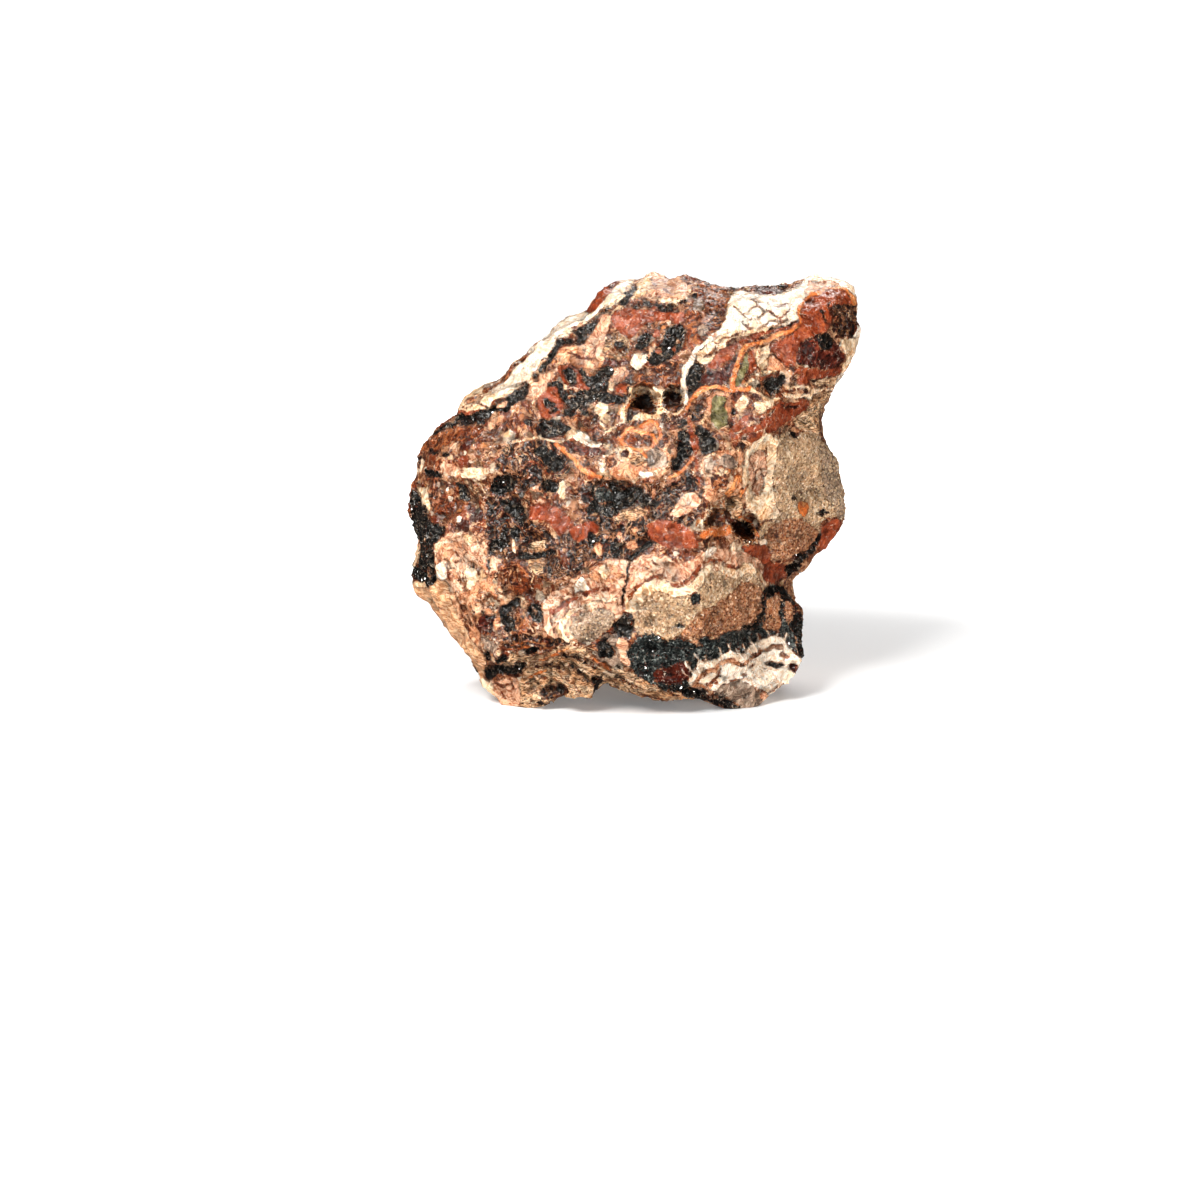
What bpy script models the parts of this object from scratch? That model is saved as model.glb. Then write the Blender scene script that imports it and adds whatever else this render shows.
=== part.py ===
"""Hematite rough: one broken lump of red hematite breccia, about 108 mm across, resting on its underside.

An outline gives the lump's shape from the front, break planes give its front and its back, and
hollows, a lip, crags and vugs are sunk into those. The outline stands in a plane that leans back by
LEAN, because the lump rests leaning back on its four feet.
Lengths are in millimetres until the mesh is made. u runs right and v up in the outline's plane, and
w runs back through the stone.
"""

import math

import bmesh
import bpy
import numpy as np
from mathutils import Vector, noise

MM = 0.001
LEAN = math.radians(12.0)
FOOT_DROP = 3.4  # how far the outline's plane is sunk below the ground at its foot line
SIDE_SHIFT = 0.15  # these two bring the middle of the stone's box over the origin
FRONT_SHIFT = 11.95
CORE = (-1.0, 53.0)  # the point of the outline's plane that every outline point can be seen from

# The outline from the front, anticlockwise from the right shoulder, as (u, v).
OUTLINE = [
    (51.4, 46.8), (49.4, 55.4), (49.5, 59.0), (48.0, 61.4), (46.1, 63.8), (44.9, 66.2),
    (44.6, 69.8), (45.1, 72.7), (46.8, 75.6), (47.8, 78.2), (49.7, 80.6), (51.8, 83.8),
    (53.0, 86.6), (53.8, 90.2), (53.5, 94.3), (53.5, 99.1), (51.8, 101.8), (49.0, 103.7),
    (45.1, 104.9), (41.8, 104.4), (39.1, 102.7), (36.2, 101.5), (31.4, 102.2), (29.0, 101.8),
    (25.7, 102.0), (23.0, 101.5), (20.6, 102.2), (18.2, 102.5), (15.8, 103.3), (13.4, 104.6),
    (11.0, 104.9), (9.1, 103.9), (6.2, 105.6), (4.3, 106.3), (1.4, 103.9), (-2.2, 103.2),
    (-4.1, 103.6), (-6.2, 102.7), (-8.6, 100.8), (-10.6, 98.2), (-11.3, 96.0), (-13.0, 95.5),
    (-15.4, 94.8), (-17.8, 93.4), (-19.9, 91.2), (-20.9, 89.3), (-23.3, 87.8), (-25.4, 85.4),
    (-26.4, 83.5), (-28.8, 82.3), (-30.2, 80.2), (-32.2, 78.7), (-37.0, 77.5), (-39.8, 75.6),
    (-41.0, 73.9), (-42.2, 72.0), (-42.7, 69.8), (-44.9, 69.4), (-47.3, 68.2), (-49.4, 65.8),
    (-51.4, 63.6), (-52.6, 61.4), (-53.0, 60.2), (-52.3, 57.8), (-53.0, 55.4), (-53.8, 50.6),
    (-53.5, 47.0), (-52.8, 42.2), (-51.8, 38.2), (-52.6, 36.2), (-53.5, 33.1), (-53.0, 30.7),
    (-52.6, 28.6), (-49.4, 25.9), (-47.3, 22.3), (-44.9, 19.9), (-41.8, 15.8), (-39.4, 13.4),
    (-37.0, 9.4), (-36.5, 5.3), (-34.6, 2.2), (-32.2, 0.6), (-30.5, 0.0), (-27.4, 1.0),
    (-22.6, 1.2), (-14.2, 1.6), (-11.0, 0.9), (-9.6, 2.6), (-8.6, 5.0), (-7.9, 8.2),
    (-5.3, 6.2), (-2.9, 4.3), (0.2, 1.9), (3.8, 1.2), (7.4, 2.0), (13.4, 2.6),
    (17.3, 2.4), (20.6, 1.2), (25.2, 0.2), (27.8, 0.0), (32.6, 2.6), (35.0, 4.6),
    (37.0, 6.2), (39.1, 7.6), (39.8, 10.6), (40.6, 13.4), (40.3, 17.0), (40.6, 20.4),
    (39.8, 24.2), (37.7, 27.6), (36.2, 30.0), (36.6, 31.2), (39.8, 33.1), (43.4, 37.2),
    (46.1, 38.4), (47.5, 41.0), (49.7, 44.4),
]
# How far back the widest line round the stone lies, as (angle round the core in degrees, w).
RIM_DEPTH = [
    (0, 6.0), (40, -4.0), (75, 2.0), (120, 3.0), (165, 1.0), (215, -3.0),
    (240, -9.0), (270, -11.0), (300, -10.0), (325, -4.0), (360, 6.0),
]
RIM_SQUARENESS = 5.0  # the power of the curve that turns each face into the rim
FACE_RADIUS = 52.0  # the lump's mean half width and half depth, which space its points evenly
HALF_DEPTH = 28.0
# Behind the rim the outline's steps are averaged over so many degrees to each side, and the lump is
# this much smaller. The second pair keeps its large notches open.
EVEN_REACHES = [(9.0, 0.97), (3.5, 0.985)]
EVEN_FROM = 0.2  # the share of the back's depth behind which the outline is wholly averaged

# Break planes of the front, as (u, v, w, rise of w along u, rise of w along v).
FRONT_PLANES = [
    (-8.0, 62.6, -27.0, -0.15, 0.26),  # main face, which leans back
    (-30.0, 84.0, -12.0, -1.70, 1.90),  # bevel along the upper left edge
    (35.0, 89.0, -24.0, 0.22, 0.18),  # upper right lobe
    (26.6, 57.8, -27.5, 0.90, -0.30),  # right flank
    (13.4, 26.6, -30.0, 0.08, -0.18),  # lower face
    (25.0, 9.8, -27.0, 0.30, -0.70),  # lower right break
    (-37.0, 31.0, -20.0, -0.55, -0.12),  # left flank
    (-49.0, 52.0, -12.0, -2.20, 0.10),  # black skin at the left edge
    (-40.6, 18.2, -16.0, -2.40, -1.35),  # tan skin at the lower left edge
    (34.0, 100.0, -13.0, 0.10, 2.20),  # bevel along the top
    (48.0, 92.0, -18.0, 1.60, 0.10),  # outer end of the lobe
]
# Break planes of the back, as (direction round the core in degrees, tilt to the back in degrees,
# distance from the core).
BACK_PLANES = [
    (90, 84, 35.5), (0, 62, 43.0), (38, 48, 47.5), (72, 52, 43.5), (118, 44, 48.0),
    (150, 58, 42.0), (182, 38, 51.0), (205, 64, 38.5), (236, 46, 49.0), (278, 66, 42.0),
    (310, 50, 48.5), (335, 34, 49.5),
]
BACK_BULGE = 44.0  # depth of the back before its planes are broken off
PLANE_BLEND = 1.2  # how softly neighbouring planes of the front run together
BREAK_BLEND = 0.5  # the same for the back

# Hollows sunk into the front, as (u, v, half width, half height, depth).
HOLLOWS = [
    (-9.0, 79.5, 8.0, 4.5, 2.4),  # black ragged hollow
    (-4.6, 87.6, 2.6, 2.6, 2.0),  # small pit above it
    (-1.0, 51.5, 8.5, 4.2, 1.8),  # black band across the middle
    (-0.5, 38.0, 2.6, 2.2, 2.0),  # pit at the head of the crack
    (-26.0, 24.0, 6.5, 3.8, 1.8),  # black hollow at the lower left
    (36.0, 31.5, 4.5, 3.4, 3.2),  # crease under the right flank
    (23.5, 47.0, 6.0, 4.0, 1.6),  # dip round the amber vug
]
# Swellings of the front, in the same form.
SWELLINGS = [
    (-24.0, 58.0, 10.0, 8.0, 1.8),  # dark knob on the left
    (22.0, 87.5, 5.5, 3.6, 1.0),  # smooth clast of the lobe
    (46.0, 88.0, 6.5, 5.0, 1.6),  # plum clast of the lobe
    (13.0, 24.0, 14.0, 7.0, 1.8),  # sandy hump of the lower face
    (-40.0, 36.0, 7.0, 8.0, 1.4),  # salmon hump of the left flank
    (-2.0, 92.0, 9.0, 5.0, 1.2),  # red knob below the peak
]
# Open vugs, as (name, u, v, half width, half height, how deep it reaches behind the face).
VUGS = [
    ("pale_vug", 2.2, 74.0, 3.4, 2.9, 6.5),
    ("black_vug", 9.1, 74.2, 2.4, 2.5, 5.0),
    ("amber_vug", 26.4, 44.2, 3.2, 2.6, 7.0),
    ("side_pocket", 21.8, 48.8, 1.5, 2.1, 4.0),
]
VUG_OVERREACH = 6.0  # how far a vug's cutter stands out in front of the face
VUG_RAGGEDNESS = 0.35
VUG_LUMPS = 1.7  # lumps of a vug's wall along its radius
# The lip under the front at the lower left, as (u, v), and how far the stone is set back below it.
LIP = [(-40.0, 10.0), (-33.0, 12.6), (-26.0, 13.2), (-14.0, 13.0), (-6.0, 9.6), (1.0, 4.6), (8.0, 0.0)]
LIP_SETBACK = 8.0
LIP_SOFTNESS = 1.0
LIP_END = 3.0  # length over which the lip dies away at each end

# Feet under the stone, as (x, y, radius). The underside is arched between them.
FEET = [(-26.0, -21.0, 8.0), (25.0, -21.0, 9.0), (12.0, 10.0, 12.0), (-20.0, 6.0, 9.0)]
ARCH_HEIGHT = 3.6
FOOT_DEPTH = 5.2
UNDERSIDE_ROUGHNESS = 0.5  # share of the crags' height under the stone
UNDERSIDE_BLEND = 0.35

# Crags, as (size of the lumps, height, how sharp: 0 for round lumps and 1 for ridges).
CRAGS = [(26.0, 2.6, 0), (12.0, 2.6, 1), (5.5, 1.5, 1)]
RIDGE_TOP = 0.35  # a sharp crag's ridges stand this share of its height above the mean
RIDGE_STEEPNESS = 1.6
CRAG_SEED = 17.0
SILHOUETTE_SHARE = 0.25  # of a crag's height where it would change the outline
FACE_FREEDOM = 1.6  # how soon crags come to their full height as the surface turns to the front

SPHERE_SUBDIVISIONS = 6
SKIN_VOXEL = 0.95
KEPT_SHARE = 0.085  # of the fine mesh's faces
GROUND_SIZE = 300.0


def clear_scene():
    for old in list(bpy.data.objects):
        bpy.data.objects.remove(old)


def outline_radius(angle):
    """Distance from the core to the outline in each direction, straight between the outline's points."""
    points = np.array(OUTLINE) - CORE
    angles = np.unwrap(np.arctan2(points[:, 1], points[:, 0]))
    radii = np.hypot(points[:, 0], points[:, 1])
    return np.interp(angle, angles, radii, period=2 * math.pi)


def even_radius(angle):
    """The outline's radius with its steps averaged out, as behind the stone's edge."""
    radii = []
    for reach, share in EVEN_REACHES:
        turns = np.radians(np.linspace(-reach, reach, 9))
        radii.append(share * np.mean([outline_radius(angle + turn) for turn in turns], axis=0))
    return np.minimum(*radii)


def rim_profile(share):
    """How far out (0 to 1) and how deep (1 to 0) a point lies, for a share of the way from face to rim."""
    turn = np.linspace(0.0, math.pi / 2, 400)
    out = np.sin(turn) ** (2 / RIM_SQUARENESS)
    deep = np.cos(turn) ** (2 / RIM_SQUARENESS)
    steps = np.hypot(np.diff(out) * FACE_RADIUS, np.diff(deep) * HALF_DEPTH)
    along = np.concatenate([[0.0], np.cumsum(steps)])
    at = share * along[-1]
    return np.interp(at, along, out), np.interp(at, along, deep)


def soft_max(values, blend):
    top = values.max(axis=0)
    return top + blend * np.log(np.exp((values - top) / blend).sum(axis=0))


def dents(shapes, u, v):
    """Summed depth of round-bottomed dents at each point."""
    total = np.zeros_like(u)
    for at_u, at_v, half_u, half_v, depth in shapes:
        away = ((u - at_u) / half_u) ** 2 + ((v - at_v) / half_v) ** 2
        total += depth * np.exp(-(away**1.5))
    return total


def set_back_below_lip(u, v):
    lip = np.array(LIP)
    edge = np.interp(u, lip[:, 0], lip[:, 1])
    ends = np.clip((u - lip[0, 0]) / LIP_END, 0, 1) * np.clip((lip[-1, 0] - u) / LIP_END, 0, 1)
    return LIP_SETBACK * ends / (1 + np.exp((v - edge) / LIP_SOFTNESS))


def front_depth(u, v):
    """Depth w of the front face, whose break planes meet in ridges."""
    planes = [w + du * (u - at_u) + dv * (v - at_v) for at_u, at_v, w, du, dv in FRONT_PLANES]
    depth = soft_max(np.array(planes), PLANE_BLEND)
    return depth + dents(HOLLOWS, u, v) - dents(SWELLINGS, u, v) + set_back_below_lip(u, v)


def break_back(points):
    """Points past a break plane of the back are brought down onto it."""
    core = np.array([CORE[0], 0.0, CORE[1]])
    for direction, tilt, distance in BACK_PLANES:
        direction, tilt = math.radians(direction), math.radians(tilt)
        normal = np.array([
            math.cos(tilt) * math.cos(direction), math.sin(tilt), math.cos(tilt) * math.sin(direction)
        ])
        past = (points - core) @ normal - distance
        past = soft_max(np.array([past, np.zeros_like(past)]), BREAK_BLEND)
        points = points - past[:, None] * normal
    return points


def upright_points(sphere):
    """The lump's smooth points as (u, w, v), for points of a unit sphere, and how far each is free of
    the outline, from 0 to 1."""
    angle = np.arctan2(sphere[:, 2], sphere[:, 0])
    is_front = sphere[:, 1] < 0
    share = np.arctan2(np.hypot(sphere[:, 0], sphere[:, 2]), np.abs(sphere[:, 1])) / (math.pi / 2)
    out, deep = rim_profile(share)
    behind = np.where(is_front, 0.0, np.clip(deep / EVEN_FROM, 0.0, 1.0))
    reach = out * ((1 - behind) * outline_radius(angle) + behind * even_radius(angle))
    u = CORE[0] + reach * np.cos(angle)
    v = CORE[1] + reach * np.sin(angle)
    rim_angles = np.radians([direction for direction, _ in RIM_DEPTH])
    rim = np.interp(angle % (2 * math.pi), rim_angles, [w for _, w in RIM_DEPTH])
    face = np.where(is_front, np.minimum(front_depth(u, v), rim), BACK_BULGE)
    points = np.column_stack([u, rim + (face - rim) * deep, v])
    return np.where(is_front[:, None], points, break_back(points)), behind


def crag_height(point):
    """Height of broken stone's rough relief at a point."""
    height = 0.0
    for size, most, sharp in CRAGS:
        value = noise.noise(point / size + Vector((CRAG_SEED, size, -CRAG_SEED)))
        height += most * (RIDGE_TOP - RIDGE_STEEPNESS * abs(value) if sharp else value)
    return height


def underside(x, y):
    """Height of the stone's underside: a rough arch with its feet let into the ground."""
    crags = [crag_height(Vector((at_x, at_y, 0.0))) for at_x, at_y in zip(x, y)]
    height = ARCH_HEIGHT + UNDERSIDE_ROUGHNESS * np.array(crags)
    for foot_x, foot_y, radius in FEET:
        away = ((x - foot_x) ** 2 + (y - foot_y) ** 2) / radius**2
        height -= FOOT_DEPTH * np.exp(-(away**2))
    return height


def laid_back(points):
    """Upright points (u, w, v) turned to how the stone rests."""
    u, w, v = np.asarray(points).T
    y = v * math.sin(LEAN) + w * math.cos(LEAN) - FRONT_SHIFT
    z = v * math.cos(LEAN) - w * math.sin(LEAN) - FOOT_DROP
    return np.column_stack([u + SIDE_SHIFT, y, z])


def shape_stone(bm):
    """Turns a unit sphere's mesh into the stone."""
    bm.verts.ensure_lookup_table()
    smooth, behind = upright_points(np.array([vertex.co for vertex in bm.verts]))
    for vertex, point in zip(bm.verts, smooth):
        vertex.co = Vector(point)
    bmesh.ops.recalc_face_normals(bm, faces=bm.faces)
    bm.normal_update()
    rough = []
    for vertex, free in zip(bm.verts, behind):
        push = vertex.normal * crag_height(vertex.co)
        free = max(free, min(1.0, FACE_FREEDOM * abs(vertex.normal.y)))
        in_plane = SILHOUETTE_SHARE + (1 - SILHOUETTE_SHARE) * free
        rough.append(vertex.co + Vector((push.x * in_plane, push.y, push.z * in_plane)))
    placed = laid_back(rough)
    x, y, z = placed.T
    placed[:, 2] = soft_max(np.array([z, underside(x, y)]), UNDERSIDE_BLEND)
    for vertex, point in zip(bm.verts, placed):
        vertex.co = Vector(point) * MM


def stone_material():
    material = bpy.data.materials.new("red_hematite_breccia")
    material.use_nodes = True
    shader = material.node_tree.nodes["Principled BSDF"]
    shader.inputs["Base Color"].default_value = (0.23, 0.085, 0.055, 1)
    shader.inputs["Roughness"].default_value = 0.45
    shader.inputs["Metallic"].default_value = 0.0
    return material


def keep_in(collection, cutter):
    """Moves a cutter to its collection, where it shows as wires only."""
    for old in list(cutter.users_collection):
        old.objects.unlink(cutter)
    collection.objects.link(cutter)
    cutter.hide_render = True
    cutter.display_type = "WIRE"
    return cutter


def make_ground(collection):
    """A block below ground level, which the feet are cut flat by."""
    bpy.ops.mesh.primitive_cube_add(size=GROUND_SIZE * MM, location=(0, 0, -GROUND_SIZE * MM / 2))
    bpy.context.object.name = "ground"
    return keep_in(collection, bpy.context.object)


def make_vug_cutters(collection):
    """Ragged eggs that run back into the face, one for each vug."""
    cutters = []
    for name, u, v, half_u, half_v, reach in VUGS:
        face = float(front_depth(np.array([u]), np.array([v]))[0])
        half_w = (reach + VUG_OVERREACH) / 2
        bpy.ops.mesh.primitive_ico_sphere_add(subdivisions=3, radius=1.0)
        cutter = keep_in(collection, bpy.context.object)
        cutter.name = name
        points = []
        for vertex in cutter.data.vertices:
            lump = noise.noise(vertex.co * VUG_LUMPS + Vector((u, v, reach)))
            co = vertex.co * (1 + VUG_RAGGEDNESS * lump)
            points.append((u + co.x * half_u, face + reach - half_w + co.y * half_w, v + co.z * half_v))
        for vertex, point in zip(cutter.data.vertices, laid_back(points)):
            vertex.co = Vector(point) * MM
        cutters.append(cutter)
    return cutters


def cut_away(stone, cutter):
    cut = stone.modifiers.new(cutter.name, "BOOLEAN")
    cut.operation = "DIFFERENCE"
    cut.object = cutter


def close_skin(stone):
    """Gives the stone one closed skin with no folds, and drops crumbs that a fold leaves beside it."""
    skin = stone.modifiers.new("skin", "REMESH")
    skin.mode = "VOXEL"
    skin.voxel_size = SKIN_VOXEL * MM
    evaluated = stone.evaluated_get(bpy.context.evaluated_depsgraph_get())
    bm = bmesh.new()
    bm.from_mesh(evaluated.data)
    stone.modifiers.remove(skin)
    reached = set()
    waiting = [max(bm.verts, key=lambda vertex: vertex.co.z)]
    while waiting:
        vertex = waiting.pop()
        if vertex not in reached:
            reached.add(vertex)
            waiting.extend(edge.other_vert(vertex) for edge in vertex.link_edges)
    crumbs = [vertex for vertex in bm.verts if vertex not in reached]
    bmesh.ops.delete(bm, geom=crumbs, context="VERTS")
    bm.to_mesh(stone.data)
    bm.free()


def make_stone(collection):
    bm = bmesh.new()
    bmesh.ops.create_icosphere(bm, subdivisions=SPHERE_SUBDIVISIONS, radius=1.0)
    shape_stone(bm)
    mesh = bpy.data.meshes.new("hematite_rough")
    bm.to_mesh(mesh)
    bm.free()
    mesh.materials.append(stone_material())
    stone = bpy.data.objects.new("hematite_rough", mesh)
    collection.objects.link(stone)
    close_skin(stone)
    thin = stone.modifiers.new("fewer_faces", "DECIMATE")
    thin.ratio = KEPT_SHARE
    return stone


def main():
    clear_scene()
    stone_collection = bpy.data.collections.new("hematite_rough")
    cutters = bpy.data.collections.new("cutters")
    for collection in (stone_collection, cutters):
        bpy.context.scene.collection.children.link(collection)
    stone = make_stone(stone_collection)
    for cutter in [*make_vug_cutters(cutters), make_ground(cutters)]:
        cut_away(stone, cutter)


main()
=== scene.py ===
"""Looks of a rough lump of hematite breccia: its broken skin, mineral patches, veins, crystals and grains."""
import collections
import itertools
import math

import bmesh
import bpy
import numpy as np
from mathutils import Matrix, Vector


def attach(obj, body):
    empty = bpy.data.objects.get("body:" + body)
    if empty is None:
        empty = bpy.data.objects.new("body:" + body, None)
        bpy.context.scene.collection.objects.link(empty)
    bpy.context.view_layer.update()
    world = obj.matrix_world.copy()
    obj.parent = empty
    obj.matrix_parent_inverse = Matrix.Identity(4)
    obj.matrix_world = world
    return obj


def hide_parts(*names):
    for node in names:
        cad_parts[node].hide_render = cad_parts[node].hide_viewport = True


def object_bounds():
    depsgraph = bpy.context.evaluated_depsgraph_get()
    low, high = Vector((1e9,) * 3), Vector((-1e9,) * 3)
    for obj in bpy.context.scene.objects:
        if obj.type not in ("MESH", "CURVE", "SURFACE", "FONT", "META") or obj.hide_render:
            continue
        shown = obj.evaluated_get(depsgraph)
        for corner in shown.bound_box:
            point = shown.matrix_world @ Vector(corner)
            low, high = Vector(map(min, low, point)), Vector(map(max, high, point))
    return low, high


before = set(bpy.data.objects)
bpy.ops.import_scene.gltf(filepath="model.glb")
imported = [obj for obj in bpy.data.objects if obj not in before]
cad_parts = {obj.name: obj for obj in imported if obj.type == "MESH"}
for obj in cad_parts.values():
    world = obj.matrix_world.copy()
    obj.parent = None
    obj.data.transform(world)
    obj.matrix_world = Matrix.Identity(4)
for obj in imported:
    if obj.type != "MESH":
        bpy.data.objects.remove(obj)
cad_box = [list(corner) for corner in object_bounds()]

# Camera: a long lens, 12 degrees above the level, that looks at a point just left of the lump's middle.
# The mineral patches are drawn as this camera sees them, so it is set first.
MM = 0.001
FRAME_PIXELS = 1200
PIXEL = 0.24
LENS = 93.75
SENSOR = 36.0
CAMERA_DISTANCE = 750.0
CAMERA_ELEVATION = math.radians(12)
CAMERA_TARGET = np.array([-8.01, -6.41, 22.66])

to_scene = np.array([0, math.cos(CAMERA_ELEVATION), -math.sin(CAMERA_ELEVATION)])
image_up = np.array([0, math.sin(CAMERA_ELEVATION), math.cos(CAMERA_ELEVATION)])
camera_place = CAMERA_TARGET - CAMERA_DISTANCE * to_scene

camera = bpy.data.objects.new("camera", bpy.data.cameras.new("camera"))
camera.data.lens = LENS
camera.data.sensor_width = SENSOR
camera.data.clip_start = 0.05
camera.location = camera_place * MM
camera.rotation_euler = (math.pi / 2 - CAMERA_ELEVATION, 0, 0)
bpy.context.collection.objects.link(camera)
bpy.context.scene.camera = camera


def seen_at(points):
    """The frame's pixel at which the camera sees each point, and the point's depth behind the target."""
    away = points - camera_place
    depth = away @ to_scene
    reach = FRAME_PIXELS * LENS / SENSOR
    across = FRAME_PIXELS / 2 + reach * away[:, 0] / depth
    down = FRAME_PIXELS / 2 - reach * (away @ image_up) / depth
    return np.stack([across, down], axis=1), depth - CAMERA_DISTANCE


# The minerals of the stone: hematite stains a silica breccia red and fills its cracks black, later quartz
# and iron-stained chalcedony heal it, and sand and limonite layers fill the rest. It is broken and wet.
# Each has its texture, its colours as the texture's value rises, and its ragged edge, dullness, grain, level
# and crags in millimetres. A colour between two unlike ones shows as a thin line, as the real banding does.
Mineral = collections.namedtuple("Mineral", "texture colours ragged dull grain level crag")
MINERALS = {
    "sandstone": Mineral("grains", "3E2A1C 9C7454 C49C78 D8B28C 82603F E4C4A0 B08A66 F4DCC0 5E4230 D8B694",
                         0.5, 0.5, 0.14, 0.0, 0.5),
    "red sand": Mineral("grains", "34180C 7E4428 A06440 BC845C 5E301A CC9870 8C5232 E0B490 42200F AC7650",
                        0.5, 0.45, 0.14, 0.0, 0.5),
    "grey sand": Mineral("grains", "282018 7C6450 A0846C BC9E84 5E4C3C C8AC92 8C7260 DCC4AA 42342A AC8E76",
                         0.5, 0.45, 0.14, 0.0, 0.5),
    "salmon": Mineral("mottle", "703820 B06A42 CC8A60 E4AA82 985432 DA9A70 F0C4A0 C07A52 E8B48C F8D8BC",
                      0.6, 0.35, 0.06, 0.1, 0.6),
    "pink": Mineral("mottle", "723822 B87654 DCA482 EEC0A0 A6603E E4B492 F6D8BC C4825C EEC4A4 FAE2CC",
                    0.6, 0.35, 0.06, 0.1, 0.6),
    "cream": Mineral("mottle", "5A2C18 B47C50 E0B488 F2D6B2 BE885A ECC8A2 FAE8CE DCAA7C F6DEC0 9C5A36 F2D2B0"
                     " FFF6E6", 0.6, 0.35, 0.06, 0.15, 0.6),
    "grey": Mineral("mottle", "2A221C 6C5648 A08470 54443A BCA08A 8C7260 D8C0AA 70594A",
                    0.6, 0.35, 0.1, 0.0, 0.7),
    "tan": Mineral("beds", "180C06 6E4024 B8845C DEAC80 442412 C8946A EEC8A0 20100A CE9C70 F6D8B4 5E3218"
                   " E2B48A 2E160C", 0.5, 0.45, 0.1, 0.0, 1.0),
    "rind": Mineral("rind", "7A4226 BE8258 DAA27A EABE96 A4683E DEAA80 F0CCA6 B87C54 E6B48C",
    0.4, 0.5, 0.06, 0.0, 0.5),
    "brown": Mineral("mottle", "0E0806 381608 783416 984E26 28100A 863E1E BE7A4C 5A2410 220E08 96502A E0A878"
                     " 662C14", 0.7, 0.4, 0.14, -0.05, 0.8),
    "jasper": Mineral("mottle", "4E1E0E 80361E 964426 6E2C16 A2502E 883C24 B05E38 78321A 984828 BC7046",
                      0.5, 0.3, 0.06, 0.1, 0.6),
    "plum": Mineral("mottle", "0E0606 301008 561E12 38120C 6A2C1C 1C0C08 4E1E14 88402A 280E08",
                    0.5, 0.3, 0.08, 0.0, 0.7),
    "hematite": Mineral("flecks", "080605 15120F 1D1A17 0C0908 28231E 16120F 302A24 120D0B 2C1C12 4A4238"
                        " 0F0B09 8C7C6C", 0.8, 0.22, 0.3, -0.5, 1.2),
    "flecked ore": Mineral("grains", "080A0A 1A1E1D 2E3332 101313 3E4543 1C2120 5E6663 0E1111 2A302E 9AA09A"
                           " 161A19 C4C8C0", 0.8, 0.3, 0.25, -0.2, 0.8),
    "ironstone": Mineral("mottle", "080606 120C0A 2A120A 0E0A0A 4A1E10 1E100A B07A54 3A180E 0C0A0A 1A100C"
                         " 5A2412 7E4224 D8AC84 2A140C 0E0A0A 6A3018 C08A60", 0.9, 0.3, 0.2, -0.2, 1.0),
    "epidote": Mineral("mottle", "2E2816 6A6238 90885A 544C2A A09668 787044 B4A87C",
                       0.4, 0.4, 0.06, 0.0, 0.5),
    "orange": Mineral("mottle", "8A3A14 C4642E DC8448 AC5224 E8A268 CC7038 F2BE8A",
                      0.35, 0.3, 0.05, 0.3, 0.4),
    # The lining of the vugs and pits: its browns are the lining's own colour, its near-black tones are painted
    # shade deep in the holes
    "goethite": Mineral("mottle", "080403 1E0C06 4A200E 140806 7A4018 2A120A A86428",
                        0.3, 0.3, 0.1, -0.5, 0.8),
    "quartz": Mineral("mottle", "7A4E34 D2A686 ECD0B4 FAEAD6 E4C09E F4DEC6 FFF8EC D8AE8A F8E8D4 FFFCF4"
                      " C69470 FFF6E8", 0.45, 0.25, 0.06, 0.3, 0.5),
}



# The patches, veins and spots of the visible face, drawn as the camera sees them, in its pixels.
# Each is named for what it is in the stone, save the marked ones that are painted shade or painted highlights,
# and covers the ones above it, as later minerals cut earlier ones.
DRAWN = []
OVAL_CORNERS = 12
CORNER_CUT = 0.2


def pixels(text):
    """Turns "459,404 466,396" into an array of pixel places."""
    return np.array([[float(number) for number in pair.split(",")] for pair in text.split()])


def patch(name, mineral, outline):
    """A mineral patch inside an outline, whose corners are cut once so that it runs smoothly."""
    corners = pixels(outline)
    ahead = np.roll(corners, -1, axis=0)
    cut, left = CORNER_CUT, 1 - CORNER_CUT
    rounded = np.stack([left * corners + cut * ahead, cut * corners + left * ahead], axis=1).reshape(-1, 2)
    DRAWN.append((mineral, rounded, True, 0.0))


def vein(name, mineral, width, *lines):
    """Veins of one mineral and width in pixels, each along its own line."""
    for line in lines:
        DRAWN.append((mineral, pixels(line), False, width / 2))


def spots(name, mineral, *ovals):
    """Round spots, each written as its middle and its half width and half height."""
    for oval in ovals:
        middle, half = pixels(oval)
        turns = np.linspace(0, 2 * math.pi, OVAL_CORNERS, endpoint=False)
        ring = middle + half * np.stack([np.cos(turns), np.sin(turns)], axis=1)
        DRAWN.append((mineral, ring, True, 0.0))


# Upper left slope
patch("crest band", "cream", "450,404 458,388 476,378 496,374 508,362 520,352 530,340 540,330 550,318"
      " 562,308 584,302 590,288 604,274 622,268 637,270 634,287 624,297 617,305 600,316 584,325 570,333"
      " 559,341 554,352 545,365 534,384 520,387 511,396 497,399 484,410 456,410")
patch("crest band core", "quartz", "482,386 498,376 512,364 524,352 534,340 544,330 554,320 566,312 586,304"
      " 594,292 608,280 622,276 632,280 624,290 615,302 598,313 582,321 568,329 558,337 552,350 541,362"
      " 531,380 517,384 508,394 494,396")
patch("red lobe", "jasper", "586,313 584,304 590,288 604,274 622,270 623,280 614,288 608,295 605,300 597,309"
      " 590,313")
vein("lobe edge", "hematite", 2, "610,286 617,281 624,279")
patch("peach end", "salmon", "464,402 470,396 482,393 486,398 478,403")
vein("peach line", "brown", 1.2, "462,407 474,404 486,405", "470,399 480,397")
vein("rim skin", "brown", 4,
     "485,391 495,384 503,379 512,367 523,360 530,349 537,341 546,335 552,326 557,320 571,312 585,309")
patch("strip under band", "jasper", "452,410 480,410 484,411 478,413 468,415 454,415")
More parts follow.
